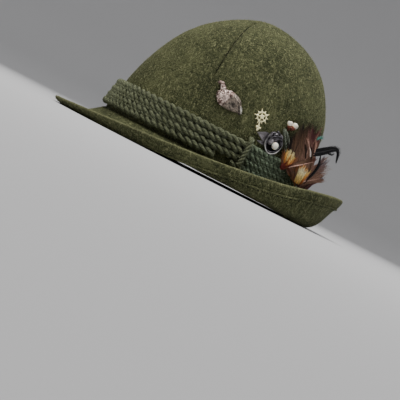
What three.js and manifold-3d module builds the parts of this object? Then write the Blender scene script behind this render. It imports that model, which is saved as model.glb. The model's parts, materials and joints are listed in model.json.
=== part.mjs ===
// A tyrolean hat in olive wool felt, with a band of four green cords, three pins, a rosette and feathers.
// Millimetres, +Z up. The front of the hat points to -X and the wearer's left side to -Y.
// The hat rests on z = 0 on the felt of its brim, and the origin is under the middle of its box.

import * as THREE from 'three';
import { mergeVertices } from 'three/addons/utils/BufferGeometryUtils.js';
import Module from 'manifold-3d';

const wasm = await Module();
wasm.setup();

// Felt crown
const crownLength = 201.5;
const crownWidth = 165;
const crownHeight = 139.5;
const crownBack = 3.25;
const crownWall = 2.2;
const openingHeight = 19;

// Felt brim
const brimLength = 292;
const brimWidth = 237;
const brimWall = 2.4;
const hemWidth = 10;
const hemExtra = 1.2;
const backRise = 39;
const turnReach = 24.5;
const sideLift = 3.6;
const pressedFelt = 0.35;
const pressedWidth = 8;

// Cords
const cordDiameter = 6.5;
const cordRows = 4;
const loopCord = 3.6;
const loopHeight = 26;
const loopWidth = 7.8;
const knotCord = 5;

// Pins, rosette and feathers
const birdLength = 31;
const birdRelief = 5.2;
const flowerDiameter = 14;
const flowerPlate = 1.2;
const toothLength = 7.6;
const rosetteDiameter = 17.4;
const beadLength = 6.6;
const featherPlate = 1.3;
const tuftHeight = 40;
const footDepth = 3.2;

// Heights of the ornaments above the opening
const birdHeight = 55;
const flowerHeight = 53;
const toothHeight = 58.3;
const rosetteHeight = 36.2;
const tuftFoot = 21.1;

// Gap between pieces that touch on the real hat
const gap = 0.3;

// How finely the round pieces are cut
const crownSides = 48;
const crownRings = 11;
const brimSides = 56;
const cordSides = 6;
const cordSteps = 52;

// Crown outline: shares of the height, of half the length and of half the width
const crownTable = [
  { rise: 0, front: 1, back: 1, side: 1 },
  { rise: 0.2, front: 0.94, back: 0.998, side: 0.985 },
  { rise: 0.33, front: 0.891, back: 0.982, side: 0.968 },
  { rise: 0.5, front: 0.799, back: 0.953, side: 0.93 },
  { rise: 0.65, front: 0.685, back: 0.872, side: 0.862 },
  { rise: 0.77, front: 0.545, back: 0.768, side: 0.758 },
  { rise: 0.86, front: 0.395, back: 0.645, side: 0.632 },
  { rise: 0.93, front: 0.232, back: 0.487, side: 0.475 },
  { rise: 0.98, front: 0.07, back: 0.288, side: 0.27 },
  { rise: 1, front: -0.057, back: 0.057, side: 0 },
];

// Seam over the crown: height share, and distance from the crown's middle as a share of its length
const seamTable = [
  { rise: -0.1, along: -0.107 },
  { rise: 0.2, along: -0.104 },
  { rise: 0.45, along: -0.099 },
  { rise: 0.7, along: -0.088 },
  { rise: 0.88, along: -0.064 },
  { rise: 1, along: -0.012 },
  { rise: 1.1, along: 0.03 },
];

// Brim by direction, in degrees from the back: how far inside the rim the trough lies as a share of turnReach,
// its lift as a share of sideLift, the rim's height as a share of backRise, and how late the turn-up bends
const brimTable = [
  { turn: 0, trough: 1, lift: 0, rise: 1, bend: 0.3 },
  { turn: 22, trough: 0.73, lift: 0.06, rise: 0.985, bend: 0.42 },
  { turn: 40, trough: 0.42, lift: 0.4, rise: 0.87, bend: 0.66 },
  { turn: 60, trough: 0.31, lift: 0.75, rise: 0.645, bend: 0.72 },
  { turn: 90, trough: 0.3, lift: 1, rise: 0.41, bend: 0.66 },
  { turn: 115, trough: 0.39, lift: 0.8, rise: 0.29, bend: 0.6 },
  { turn: 140, trough: 0.51, lift: 0.4, rise: 0.19, bend: 0.5 },
  { turn: 160, trough: 0.65, lift: 0.05, rise: 0.145, bend: 0.45 },
  { turn: 180, trough: 0.67, lift: 0, rise: 0.13, bend: 0.45 },
];

const halfLength = crownLength / 2;
const halfWidth = crownWidth / 2;
const cordRadius = cordDiameter / 2;
const cordPitch = cordDiameter + gap;
const bandTop = openingHeight + gap + cordRows * cordPitch;

const radians = THREE.MathUtils.degToRad;

// Reads a table column at a position on it, smoothly between rows
function smoothRow(table, column, position) {
  const last = table.length - 1;
  const index = Math.min(Math.max(Math.floor(position), 0), last - 1);
  const t = position - index;
  const before = table[Math.max(index - 1, 0)][column];
  const a = table[index][column];
  const b = table[index + 1][column];
  const after = table[Math.min(index + 2, last)][column];
  const start = (b - before) / 2;
  const end = (after - a) / 2;
  const cube = t * t * t;
  const square = t * t;
  return a * (2 * cube - 3 * square + 1) + start * (cube - 2 * square + t)
    + b * (3 * square - 2 * cube) + end * (cube - square);
}

// Finds where on a table a rising column reaches a value
function positionOf(table, column, value) {
  let low = 0;
  let high = table.length - 1;
  for (let step = 0; step < 30; step += 1) {
    const middle = (low + high) / 2;
    if (smoothRow(table, column, middle) < value) low = middle;
    else high = middle;
  }
  return (low + high) / 2;
}

// A point on the outside of the crown: position on the table, and direction from the back over the left side
function crownPoint(position, turn) {
  const front = halfLength * smoothRow(crownTable, 'front', position);
  const back = halfLength * smoothRow(crownTable, 'back', position);
  const side = halfWidth * smoothRow(crownTable, 'side', position);
  const height = openingHeight + crownHeight * smoothRow(crownTable, 'rise', position);
  const middle = crownBack + (back - front) / 2;
  const reach = (back + front) / 2;
  return new THREE.Vector3(
    middle + reach * Math.cos(turn),
    -side * Math.sin(turn),
    height,
  );
}

// The direction that the crown's outside faces at a point
function crownNormal(position, turn) {
  const small = 0.01;
  const along = crownPoint(position, turn + small).sub(crownPoint(position, turn - small));
  const up = crownPoint(position + small, turn).sub(crownPoint(position - small, turn));
  return up.cross(along).normalize();
}

// A closed body from a three.js geometry, for joining and cutting
function solidOf(geometry) {
  const bare = geometry.clone();
  bare.deleteAttribute('normal');
  bare.deleteAttribute('uv');
  const merged = mergeVertices(bare, 1e-4);
  return new wasm.Manifold(new wasm.Mesh({
    numProp: 3,
    vertProperties: new Float32Array(merged.attributes.position.array),
    triVerts: new Uint32Array(merged.index.array),
  }));
}

// The three.js geometry of a closed body
function geometryOf(solid) {
  const mesh = solid.getMesh();
  const geometry = new THREE.BufferGeometry();
  geometry.setAttribute('position', new THREE.BufferAttribute(new Float32Array(mesh.vertProperties), 3));
  geometry.setIndex(new THREE.BufferAttribute(new Uint32Array(mesh.triVerts), 1));
  geometry.computeVertexNormals();
  return geometry;
}

// One closed body from several that overlap
function joined(geometries) {
  let whole = solidOf(geometries[0]);
  for (const geometry of geometries.slice(1)) whole = whole.add(solidOf(geometry));
  return geometryOf(whole);
}

// Turns a mesh's faces outwards if they point in
function facedOut(geometry) {
  const place = geometry.attributes.position;
  const index = geometry.index.array;
  const a = new THREE.Vector3();
  const b = new THREE.Vector3();
  const c = new THREE.Vector3();
  let volume = 0;
  for (let i = 0; i < index.length; i += 3) {
    a.fromBufferAttribute(place, index[i]);
    b.fromBufferAttribute(place, index[i + 1]);
    c.fromBufferAttribute(place, index[i + 2]);
    volume += a.dot(b.cross(c));
  }
  if (volume < 0) {
    for (let i = 0; i < index.length; i += 3) {
      const kept = index[i + 1];
      index[i + 1] = index[i + 2];
      index[i + 2] = kept;
    }
  }
  geometry.computeVertexNormals();
  return geometry;
}

// A closed body through rings of equal length. A looped body joins its last ring to its first. Any other
// gets a cap of triangles at each end, round the tip given for it or else round the ring's own middle.
function loft(rings, looped = false, tips = []) {
  const count = rings[0].length;
  const points = rings.flat();
  const faces = [];
  const rows = looped ? rings.length : rings.length - 1;
  for (let row = 0; row < rows; row += 1) {
    const next = (row + 1) % rings.length;
    for (let i = 0; i < count; i += 1) {
      const j = (i + 1) % count;
      faces.push(row * count + i, row * count + j, next * count + j);
      faces.push(row * count + i, next * count + j, next * count + i);
    }
  }
  if (!looped) {
    for (const [row, flip, tip] of [[0, true, tips[0]], [rings.length - 1, false, tips[1]]]) {
      const middle = rings[row].reduce((sum, p) => sum.add(p), new THREE.Vector3()).divideScalar(count);
      const centre = points.push(tip ?? middle) - 1;
      for (let i = 0; i < count; i += 1) {
        const j = (i + 1) % count;
        if (flip) faces.push(centre, row * count + j, row * count + i);
        else faces.push(centre, row * count + i, row * count + j);
      }
    }
  }
  const geometry = new THREE.BufferGeometry().setFromPoints(points);
  geometry.setIndex(faces);
  return facedOut(geometry);
}

function range(count, make) {
  return Array.from({ length: count }, (_, i) => make(i));
}

function material(color, roughness, metalness = 0) {
  return new THREE.MeshStandardMaterial({ color, roughness, metalness });
}

function named(name, geometry, look) {
  const mesh = new THREE.Mesh(geometry, look);
  mesh.name = name;
  return mesh;
}

const feltLook = material(0x5a5a3c, 0.95);
const cordLook = material(0x44523f, 0.9);
const pewterLook = material(0x8d857f, 0.45, 0.8);
const giltLook = material(0xd9cfa4, 0.4, 0.6);
const darkMetalLook = material(0x4a474c, 0.35, 0.9);
const ivoryLook = material(0xe9e2cf, 0.35);
const featherLook = material(0x5b4538, 0.85);
const goldFeatherLook = material(0xc8853a, 0.8);
const blackFeatherLook = material(0x1c1d26, 0.5);

// The whole felt dome, open below, before the seam parts it
function crownShell() {
  const last = crownTable.length - 1;
  const positions = range(crownRings, (i) => (i / crownRings) * last);
  const ring = (position, depth) => range(crownSides, (i) => {
    const turn = (i / crownSides) * 2 * Math.PI;
    return crownPoint(position, turn).addScaledVector(crownNormal(position, turn), -depth);
  });
  const outside = positions.map((position) => ring(position, 0));
  const inside = positions.map((position) => ring(position, crownWall));
  for (const point of inside[0]) point.z = openingHeight;
  const top = crownPoint(last, 0);
  const topInside = top.clone().setZ(top.z - crownWall);
  return loft([...inside.reverse(), ...outside], false, [topInside, top]);
}

// The block of space in front of the seam, or behind it, out past the crown on every side
function seamBlock(before) {
  const away = before ? -crownLength : crownLength;
  const offset = before ? -gap / 2 : gap / 2;
  const steps = 18;
  const points = range(steps + 1, (i) => {
    const position = (i / steps) * (seamTable.length - 1);
    return new THREE.Vector2(
      crownBack + crownLength * smoothRow(seamTable, 'along', position) + offset,
      -(openingHeight + crownHeight * smoothRow(seamTable, 'rise', position)),
    );
  });
  const outline = new THREE.Shape([
    new THREE.Vector2(away, points[0].y),
    ...points,
    new THREE.Vector2(away, points[steps].y),
  ]);
  const block = new THREE.ExtrudeGeometry(outline, { depth: crownWidth * 1.2, bevelEnabled: false });
  block.translate(0, 0, -crownWidth * 0.6);
  block.rotateX(-Math.PI / 2);
  return block;
}

function crownPanels() {
  const shell = solidOf(crownShell());
  const front = geometryOf(shell.intersect(solidOf(seamBlock(true))));
  const back = geometryOf(shell.intersect(solidOf(seamBlock(false))));
  return [named('crown_front', front, feltLook), named('crown_back', back, feltLook)];
}

// The middle line of the brim's felt in one direction: the slope from the opening down to the trough, the
// trough's bottom, and the turn-up from there to the rim
function brimLine(turn) {
  const fromBack = Math.abs(((THREE.MathUtils.radToDeg(turn) + 180) % 360) - 180);
  const position = positionOf(brimTable, 'turn', fromBack);
  const read = (column) => smoothRow(brimTable, column, position);
  const opening = new THREE.Vector3(
    crownBack + (halfLength - crownWall / 2) * Math.cos(turn),
    -(halfWidth - crownWall / 2) * Math.sin(turn),
    openingHeight - gap - brimWall * 0.42,
  );
  const rim = new THREE.Vector3(
    (brimLength / 2 - brimWall / 2) * Math.cos(turn),
    -(brimWidth / 2 - brimWall / 2) * Math.sin(turn),
    backRise * read('rise'),
  );
  const bottom = brimWall / 2 - pressedFelt + sideLift * read('lift');
  const outward = rim.clone().sub(opening).setZ(0).normalize();
  const trough = rim.clone().addScaledVector(outward, -turnReach * read('trough')).setZ(bottom);
  const halfFlat = (pressedWidth / 2) * (1 - 0.7 * read('lift'));
  const inner = trough.clone().addScaledVector(outward, -halfFlat);
  const outer = trough.clone().addScaledVector(outward, halfFlat);
  const between = (a, b, share, rise) => {
    const point = new THREE.Vector3().lerpVectors(a, b, share);
    return point.setZ(THREE.MathUtils.lerp(a.z, b.z, rise));
  };
  const bend = read('bend');
  return {
    outward,
    slope: new THREE.CubicBezierCurve3(
      opening,
      between(opening, inner, 0.4, 0.56),
      between(opening, inner, 0.75, 1),
      inner,
    ),
    turnUp: new THREE.CubicBezierCurve3(
      outer,
      between(outer, rim, bend, 0),
      between(outer, rim, bend + 0.28 * (1 - bend), 0.34),
      rim,
    ),
  };
}

// The brim's section in one direction. The hem is folded to the underside, so only that side is thicker.
function brimSection(turn) {
  const { outward, slope, turnUp } = brimLine(turn);
  const half = brimWall / 2;
  const thick = half + hemExtra;
  const length = turnUp.getLength();
  const rest = length - hemWidth - gap;
  const stations = [
    { curve: turnUp, share: 1, over: half * 0.45, under: half * 0.6 },
    { curve: turnUp, share: 1 - half / length, over: half, under: thick },
    { curve: turnUp, share: 1 - hemWidth / length, over: half, under: thick },
    { curve: turnUp, share: rest / length, over: half, under: half },
    { curve: turnUp, share: (rest * 0.62) / length, over: half, under: half },
    { curve: turnUp, share: (rest * 0.3) / length, over: half, under: half },
    { curve: turnUp, share: 0, over: half, under: half },
    { curve: slope, share: 1, over: half, under: half },
    { curve: slope, share: 0.68, over: half, under: half },
    { curve: slope, share: 0.34, over: half, under: half },
    { curve: slope, share: 0, over: half, under: half },
  ];
  const over = [];
  const under = [];
  for (const { curve, share, over: above, under: below } of stations) {
    const point = curve.getPointAt(share);
    const tangent = curve.getTangentAt(share);
    const up = outward.clone().multiplyScalar(-tangent.z).setZ(tangent.dot(outward)).normalize();
    over.push(point.clone().addScaledVector(up, above));
    const underside = point.clone().addScaledVector(up, -below);
    under.push(underside.setZ(Math.max(underside.z, 0)));
  }
  return [...over, ...under.reverse()];
}

function brim() {
  const sections = range(brimSides, (i) => brimSection((i / brimSides) * 2 * Math.PI));
  return named('brim', loft(sections, true), feltLook);
}

// A round tube through points, with its own caps
function tube(points, radius, sides, steps, looped = false) {
  const curve = new THREE.CatmullRomCurve3(points, looped, 'centripetal');
  const frames = curve.computeFrenetFrames(steps, looped);
  const count = looped ? steps : steps + 1;
  const rings = range(count, (row) => {
    const centre = curve.getPointAt(row / steps);
    return range(sides, (i) => {
      const angle = (i / sides) * 2 * Math.PI;
      return centre.clone()
        .addScaledVector(frames.normals[row], radius * Math.cos(angle))
        .addScaledVector(frames.binormals[row], radius * Math.sin(angle));
    });
  });
  return loft(rings, looped);
}

// Where a height above the floor lies on the crown's table
function crownPosition(height) {
  return positionOf(crownTable, 'rise', (height - openingHeight) / crownHeight);
}

// The direction, on the left side, of a place that lies some share of the crown's length behind its middle
function leftTurn(height, along) {
  const position = crownPosition(height);
  const front = crownPoint(position, Math.PI).x;
  const back = crownPoint(position, 0).x;
  return Math.acos((2 * (crownBack + crownLength * along - front)) / (back - front) - 1);
}

// A point outside the crown, at a height above the floor and a distance off the felt
function offCrown(height, turn, distance) {
  const position = crownPosition(height);
  return crownPoint(position, turn).addScaledVector(crownNormal(position, turn), distance);
}

// Four turns of cord round the crown. The lowest turn is open beside the knot, where its ends are tucked in.
function cordBand() {
  const rows = [];
  const tuckedFrom = leftTurn(openingHeight + cordRadius, 0.058);
  const tuckedTo = leftTurn(openingHeight + cordRadius, 0.136);
  for (let row = 0; row < cordRows; row += 1) {
    const height = openingHeight + gap + cordRadius + row * cordPitch;
    const open = row === 0;
    const start = open ? tuckedFrom : 0;
    const span = open ? 2 * Math.PI - (tuckedFrom - tuckedTo) : 2 * Math.PI;
    const count = open ? 49 : 48;
    const points = range(count, (i) => offCrown(height, start + (span * i) / 48, cordRadius + gap));
    rows.push(named(`cord_row_${row + 1}`, tube(points, cordRadius, cordSides, cordSteps, !open), cordLook));
  }
  return rows;
}

// A turn of cord laid over the four rows where they are tied together
function cordKnot() {
  const turn = leftTurn(bandTop, 0.174);
  const outside = cordDiameter + 2 * gap + knotCord / 2;
  const points = [
    offCrown(bandTop + knotCord * 0.7, turn, knotCord / 2 + gap),
    offCrown(bandTop + knotCord * 0.35, turn, outside * 0.8),
    offCrown(bandTop - cordRadius, turn, outside),
    offCrown(openingHeight + cordPitch * 1.5, turn, outside),
    offCrown(openingHeight + cordPitch * 0.7, turn, outside),
  ];
  return named('cord_knot', tube(points, knotCord / 2, 8, 10), cordLook);
}

// A narrow standing loop of thinner cord that leans to the front beside the rosette
function cordLoop() {
  const radius = loopCord / 2;
  const foot = bandTop + radius + gap;
  const rise = loopHeight - loopCord;
  const half = (loopWidth - loopCord) / 2;
  const leg = (share, side) => {
    const height = foot + rise * share;
    const turn = leftTurn(height, THREE.MathUtils.lerp(0.353, 0.3, share * share));
    return offCrown(height, turn - (side * half) / halfLength, radius + gap);
  };
  const points = [leg(0, 1), leg(0.3, 1), leg(0.62, 1), leg(0.9, 0.85), leg(1, 0),
    leg(0.9, -0.85), leg(0.62, -1), leg(0.3, -1), leg(0, -1)];
  return named('cord_loop', tube(points, radius, cordSides, 22), cordLook);
}

// Puts a piece that is modelled flat, facing +Z with +Y up, against the crown's left side
function seatOnCrown(mesh, height, along, distance) {
  const turn = leftTurn(height, along);
  const position = crownPosition(height);
  const normal = crownNormal(position, turn);
  const side = new THREE.Vector3(0, 0, 1).cross(normal).normalize();
  const up = normal.clone().cross(side);
  mesh.quaternion.setFromRotationMatrix(new THREE.Matrix4().makeBasis(side, up, normal));
  mesh.position.copy(crownPoint(position, turn)).addScaledVector(normal, distance);
  return mesh;
}

// A rounded lump: its middle, its half sizes and its turn in the plane of the pin
function lump(middle, size, turn = 0) {
  const ball = new THREE.SphereGeometry(1, 10, 6);
  ball.scale(...size);
  ball.rotateZ(turn);
  ball.translate(...middle);
  return ball;
}

// One cast piece from parts that overlap, with a flat back at z = 0
function castFlat(parts, reach) {
  const front = new THREE.BoxGeometry(reach * 4, reach * 4, reach * 2).translate(0, 0, reach);
  return geometryOf(solidOf(joined(parts)).intersect(solidOf(front)));
}

// Cast bird that faces the front of the hat, in shares of its length and relief
const birdTable = [
  { part: 'body', x: -0.01, y: -0.1, long: 0.4, high: 0.225, deep: 0.72, turn: -0.3 },
  { part: 'breast', x: -0.17, y: -0.08, long: 0.2, high: 0.27, deep: 0.78, turn: 0.1 },
  { part: 'belly', x: 0.12, y: -0.26, long: 0.34, high: 0.085, deep: 0.4, turn: 0.02 },
  { part: 'neck', x: -0.28, y: 0.14, long: 0.105, high: 0.18, deep: 0.6, turn: 0.6 },
  { part: 'head', x: -0.38, y: 0.27, long: 0.115, high: 0.08, deep: 0.58, turn: 0.1 },
  { part: 'wing', x: 0.13, y: 0.03, long: 0.3, high: 0.14, deep: 1, turn: -0.36 },
  { part: 'tail', x: 0.37, y: -0.17, long: 0.14, high: 0.1, deep: 0.5, turn: -0.75 },
];

function birdPin() {
  const parts = birdTable.map(({ x, y, long, high, deep, turn }) => lump(
    [x * birdLength, y * birdLength, 0],
    [long * birdLength, high * birdLength, deep * birdRelief],
    turn,
  ));
  const beak = new THREE.ConeGeometry(0.045 * birdLength, 0.13 * birdLength, 6);
  beak.rotateZ(Math.PI / 2 + 0.3);
  beak.translate(-0.475 * birdLength, 0.245 * birdLength, 0.2 * birdRelief);
  const body = castFlat([...parts, beak], birdLength);
  return seatOnCrown(named('bird_pin', body, pewterLook), openingHeight + birdHeight, 0.009, 2 * gap);
}

// Pierced flower: ten pointed rays round a ring of holes and a raised middle, with a stem and a small blossom
function edelweissPin() {
  const outer = flowerDiameter / 2;
  const rays = 10;
  const star = new THREE.Shape(range(rays * 2, (i) => {
    const angle = (i / (rays * 2)) * 2 * Math.PI;
    const reach = i % 2 ? outer * 0.6 : outer * (i % 4 ? 0.88 : 1);
    return new THREE.Vector2(reach * Math.cos(angle), reach * Math.sin(angle));
  }));
  for (let i = 0; i < 5; i += 1) {
    const angle = (i / 5) * 2 * Math.PI + 0.3;
    const hole = new THREE.Path();
    hole.absarc(outer * 0.44 * Math.cos(angle), outer * 0.44 * Math.sin(angle), outer * 0.13, 0, 2 * Math.PI, true);
    star.holes.push(hole);
  }
  const plate = new THREE.ExtrudeGeometry(star, { depth: flowerPlate, bevelEnabled: false, curveSegments: 3 });
  const drop = -outer * 1.6;
  const stem = new THREE.CapsuleGeometry(outer * 0.1, outer * 0.8, 2, 6);
  stem.rotateZ(0.14);
  stem.translate(outer * 0.06, drop * 0.6, flowerPlate * 0.5);
  const blossom = range(3, (i) => {
    const angle = (i / 3) * 2 * Math.PI - Math.PI / 2;
    const spread = outer * 0.27;
    return lump(
      [outer * 0.18 + spread * Math.cos(angle), drop + spread * Math.sin(angle), flowerPlate * 0.3],
      [outer * 0.27, outer * 0.27, flowerPlate],
    );
  });
  const middle = lump([0, 0, flowerPlate], [outer * 0.27, outer * 0.27, flowerPlate]);
  const body = castFlat([plate, middle, stem, ...blossom], flowerDiameter);
  return seatOnCrown(named('edelweiss_pin', body, giltLook), openingHeight + flowerHeight, 0.175, 2 * gap);
}

// Two short rounded teeth side by side, whose roots stand in a small leaf-shaped setting
function teethPin() {
  const seat = (mesh) => seatOnCrown(mesh, openingHeight + toothHeight, 0.308, gap);
  const plate = toothLength * 0.16;
  const leaf = new THREE.Shape(range(10, (i) => {
    const angle = (i / 10) * 2 * Math.PI;
    const reach = toothLength * (i % 2 ? 0.36 : 0.47);
    return new THREE.Vector2(reach * 1.2 * Math.cos(angle), reach * 0.8 * Math.sin(angle));
  }));
  const setting = new THREE.ExtrudeGeometry(leaf, { depth: plate, bevelEnabled: false });
  setting.translate(toothLength * 0.1, -toothLength * 0.32, 0);
  const pieces = [seat(named('teeth_setting', setting, darkMetalLook))];
  for (const [name, x, scale, lean] of [['tooth_small', -0.42, 0.85, 0.3], ['tooth_large', 0.3, 1, -0.2]]) {
    const profile = [[0, -0.5], [0.16, -0.42], [0.24, -0.2], [0.37, 0.08], [0.37, 0.26], [0.24, 0.44], [0, 0.5]];
    const outline = profile.map(([r, y]) => new THREE.Vector2(r * toothLength, y * toothLength));
    const tooth = new THREE.LatheGeometry(outline, 10);
    tooth.scale(scale, scale, scale * 0.75);
    tooth.rotateZ(lean);
    tooth.translate(x * toothLength, 0, plate + gap + toothLength * 0.37 * 0.75 * scale);
    pieces.push(seat(named(name, tooth, ivoryLook)));
  }
  return pieces;
}

// Open metal rose with a rolled rim, a dome inside it and two leaves, soldered into one piece, and a loose bead
function rosette() {
  const r = rosetteDiameter / 2;
  const profile = [[0, 0], [0.48, 0], [0.7, 0.22], [0.92, 0.48], [1, 0.66], [0.95, 0.76], [0.86, 0.7],
    [0.76, 0.46], [0.48, 0.3], [0, 0.26]];
  const cup = new THREE.LatheGeometry(profile.map(([x, y]) => new THREE.Vector2(x * r, y * r)), 16);
  cup.rotateX(Math.PI / 2);
  cup.scale(1, 1.1, 1);
  const dome = lump([-0.27 * r, 0.3 * r, 0.36 * r], [0.36 * r, 0.36 * r, 0.34 * r]);
  const leaf = (x, y, length, width, turn) => {
    const blade = new THREE.Shape();
    blade.moveTo(0, -width / 2);
    blade.quadraticCurveTo(-length * 0.45, -width * 0.4, -length, 0);
    blade.quadraticCurveTo(-length * 0.45, width * 0.4, 0, width / 2);
    blade.closePath();
    const plate = new THREE.ExtrudeGeometry(blade, { depth: 0.12 * r, bevelEnabled: false, curveSegments: 4 });
    plate.rotateZ(turn);
    plate.translate(x, y, 0.3 * r);
    return plate;
  };
  const metal = joined([
    cup,
    dome,
    leaf(-0.7 * r, 0.28 * r, 1.5 * r, 1 * r, -0.12),
    leaf(-0.76 * r, -0.4 * r, 1.1 * r, 0.4 * r, 0.12),
  ]);
  const bead = lump([0, 0, 0], [beadLength * 0.42, beadLength / 2, beadLength * 0.4]);
  bead.translate(0.34 * r, 0, 0.3 * r + gap + beadLength * 0.4);
  const seat = (mesh) => seatOnCrown(mesh, openingHeight + rosetteHeight, 0.264, gap);
  return [seat(named('rosette', metal, darkMetalLook)), seat(named('rosette_bead', bead, ivoryLook))];
}

// How broad a feather is from its foot to its tip, as a share of its width
const vaneProfile = [0.4, 0.95, 1, 0.75, 0.12];

// A feather as a thin closed blade: foot, bend and tip across and up from the tuft's foot, its width and how
// far it lies in front of the others, all in shares of the tuft's height
function feather({ foot, bend, tip, width, front }) {
  const at = ([x, z]) => new THREE.Vector3(x, 0, z).multiplyScalar(tuftHeight);
  const outward = new THREE.Vector3(0, -1, 0);
  const curve = new THREE.QuadraticBezierCurve3(at(foot), at(bend), at(tip));
  const last = vaneProfile.length - 1;
  const rings = vaneProfile.map((share, i) => {
    const centre = curve.getPointAt(i / last).addScaledVector(outward, front * tuftHeight);
    const across = curve.getTangentAt(i / last).cross(outward).normalize();
    const half = (width * share * tuftHeight) / 2;
    const plate = (featherPlate * (1 - (0.5 * i) / last)) / 2;
    return [[-1, 0], [-0.5, 1], [0.5, 1], [1, 0], [0.5, -1], [-0.5, -1]].map(([u, v]) => centre.clone()
      .addScaledVector(across, u * half)
      .addScaledVector(outward, v * plate + (1 - u * u) * plate));
  });
  return loft(rings);
}

const brownFeathers = [
  { foot: [-0.02, 0], bend: [-0.15, 0.5], tip: [0.01, 0.97], width: 0.26, front: 0 },
  { foot: [0, 0], bend: [0.1, 0.5], tip: [0.27, 0.95], width: 0.28, front: 0.012 },
  { foot: [0.02, 0], bend: [0.3, 0.3], tip: [0.47, 0.77], width: 0.28, front: 0.024 },
  { foot: [0, 0], bend: [0.3, 0.22], tip: [0.6, 0.46], width: 0.22, front: 0.036 },
  { foot: [0.25, 0.7], bend: [0.34, 0.88], tip: [0.45, 1.01], width: 0.1, front: 0.03 },
  { foot: [0.5, -0.12], bend: [0.68, 0.2], tip: [0.82, 0.5], width: 0.24, front: 0.012 },
  { foot: [0.5, -0.12], bend: [0.78, 0.05], tip: [1, 0.2], width: 0.22, front: 0.024 },
];

const goldFeathers = [
  { foot: [-0.13, 0], bend: [-0.24, 0.16], tip: [-0.28, 0.33], width: 0.11, front: 0 },
  { foot: [-0.12, 0], bend: [-0.13, 0.2], tip: [-0.16, 0.42], width: 0.12, front: 0.014 },
  { foot: [-0.1, 0], bend: [-0.04, 0.18], tip: [-0.04, 0.32], width: 0.1, front: 0 },
  { foot: [-0.04, 0.04], bend: [0.13, -0.03], tip: [0.3, -0.13], width: 0.17, front: 0 },
  { foot: [0.1, 0.06], bend: [0.34, 0.04], tip: [0.48, -0.16], width: 0.22, front: 0.014 },
];

const blackFeathers = [
  { foot: [0.58, -0.08], bend: [0.73, 0.36], tip: [0.66, 0.68], width: 0.055, front: 0 },
  { foot: [0.45, 0.62], bend: [0.68, 0.76], tip: [0.93, 0.92], width: 0.13, front: 0 },
];

// The curled end of the black feather
const hookTable = [[0.84, 0.86], [0.93, 0.93], [1.02, 0.955], [1.09, 0.9], [1.13, 0.81], [1.15, 0.71]];

// Feathers fused to a bound foot, which lies on the cords and reaches down behind the turned-up brim
function featherTuft() {
  const onCords = cordDiameter + gap + footDepth * 0.36;
  const seat = (mesh, layer) => {
    const height = openingHeight + tuftFoot;
    mesh.position.copy(offCrown(height, leftTurn(height, 0.356), onCords));
    mesh.rotation.z = radians(34);
    mesh.translateY(-layer);
    return mesh;
  };
  const footAt = (x, z, long, high, deep) => lump(
    [x * tuftHeight, 0, z * tuftHeight],
    [long * tuftHeight, deep / 2, high * tuftHeight],
  );
  const binding = new THREE.CapsuleGeometry(footDepth * 0.45, tuftHeight * 0.52, 2, 6);
  binding.rotateZ(-Math.PI / 2);
  binding.rotateY(0.22);
  binding.translate(tuftHeight * 0.26, 0, -tuftHeight * 0.06);
  const brown = joined([footAt(0, 0, 0.08, 0.1, footDepth), binding, ...brownFeathers.map(feather)]);
  const gold = joined([footAt(-0.11, 0, 0.1, 0.08, footDepth), ...goldFeathers.map(feather)]);
  const hook = tube(hookTable.map(([x, z]) => new THREE.Vector3(x, 0, z).multiplyScalar(tuftHeight)),
    featherPlate * 0.6, 6, 10);
  const black = joined([...blackFeathers.map(feather), hook]);
  return [
    seat(named('brown_feathers', brown, featherLook), 0),
    seat(named('gold_feathers', gold, goldFeatherLook), footDepth + gap),
    seat(named('black_feathers', black, blackFeatherLook), footDepth * 0.75 + gap),
  ];
}

const hat = new THREE.Group();
hat.name = 'tyrolean_hat';
hat.add(...crownPanels());
hat.add(brim());
hat.add(...cordBand());
hat.add(cordKnot());
hat.add(cordLoop());
hat.add(birdPin());
hat.add(edelweissPin());
hat.add(...teethPin());
hat.add(...rosette());
hat.add(...featherTuft());

export default hat;
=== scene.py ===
# %% [markdown]
# # A tyrolean hat in olive felt
# A tall round felt hat with a curled brim. A band of four twisted cords goes round it, and on the wearer's
# left side it carries a bird pin, a flower pin, two small teeth, a metal rosette and a tuft of feathers.
# Every new piece is fitted to the CAD frame. Sizes are in millimetres, as in the CAD part, and MM turns them
# into the scene's metres.

# %% Load the frame
import json
import math
import random

import bpy
import numpy as np
from mathutils import Matrix, Vector

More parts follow.
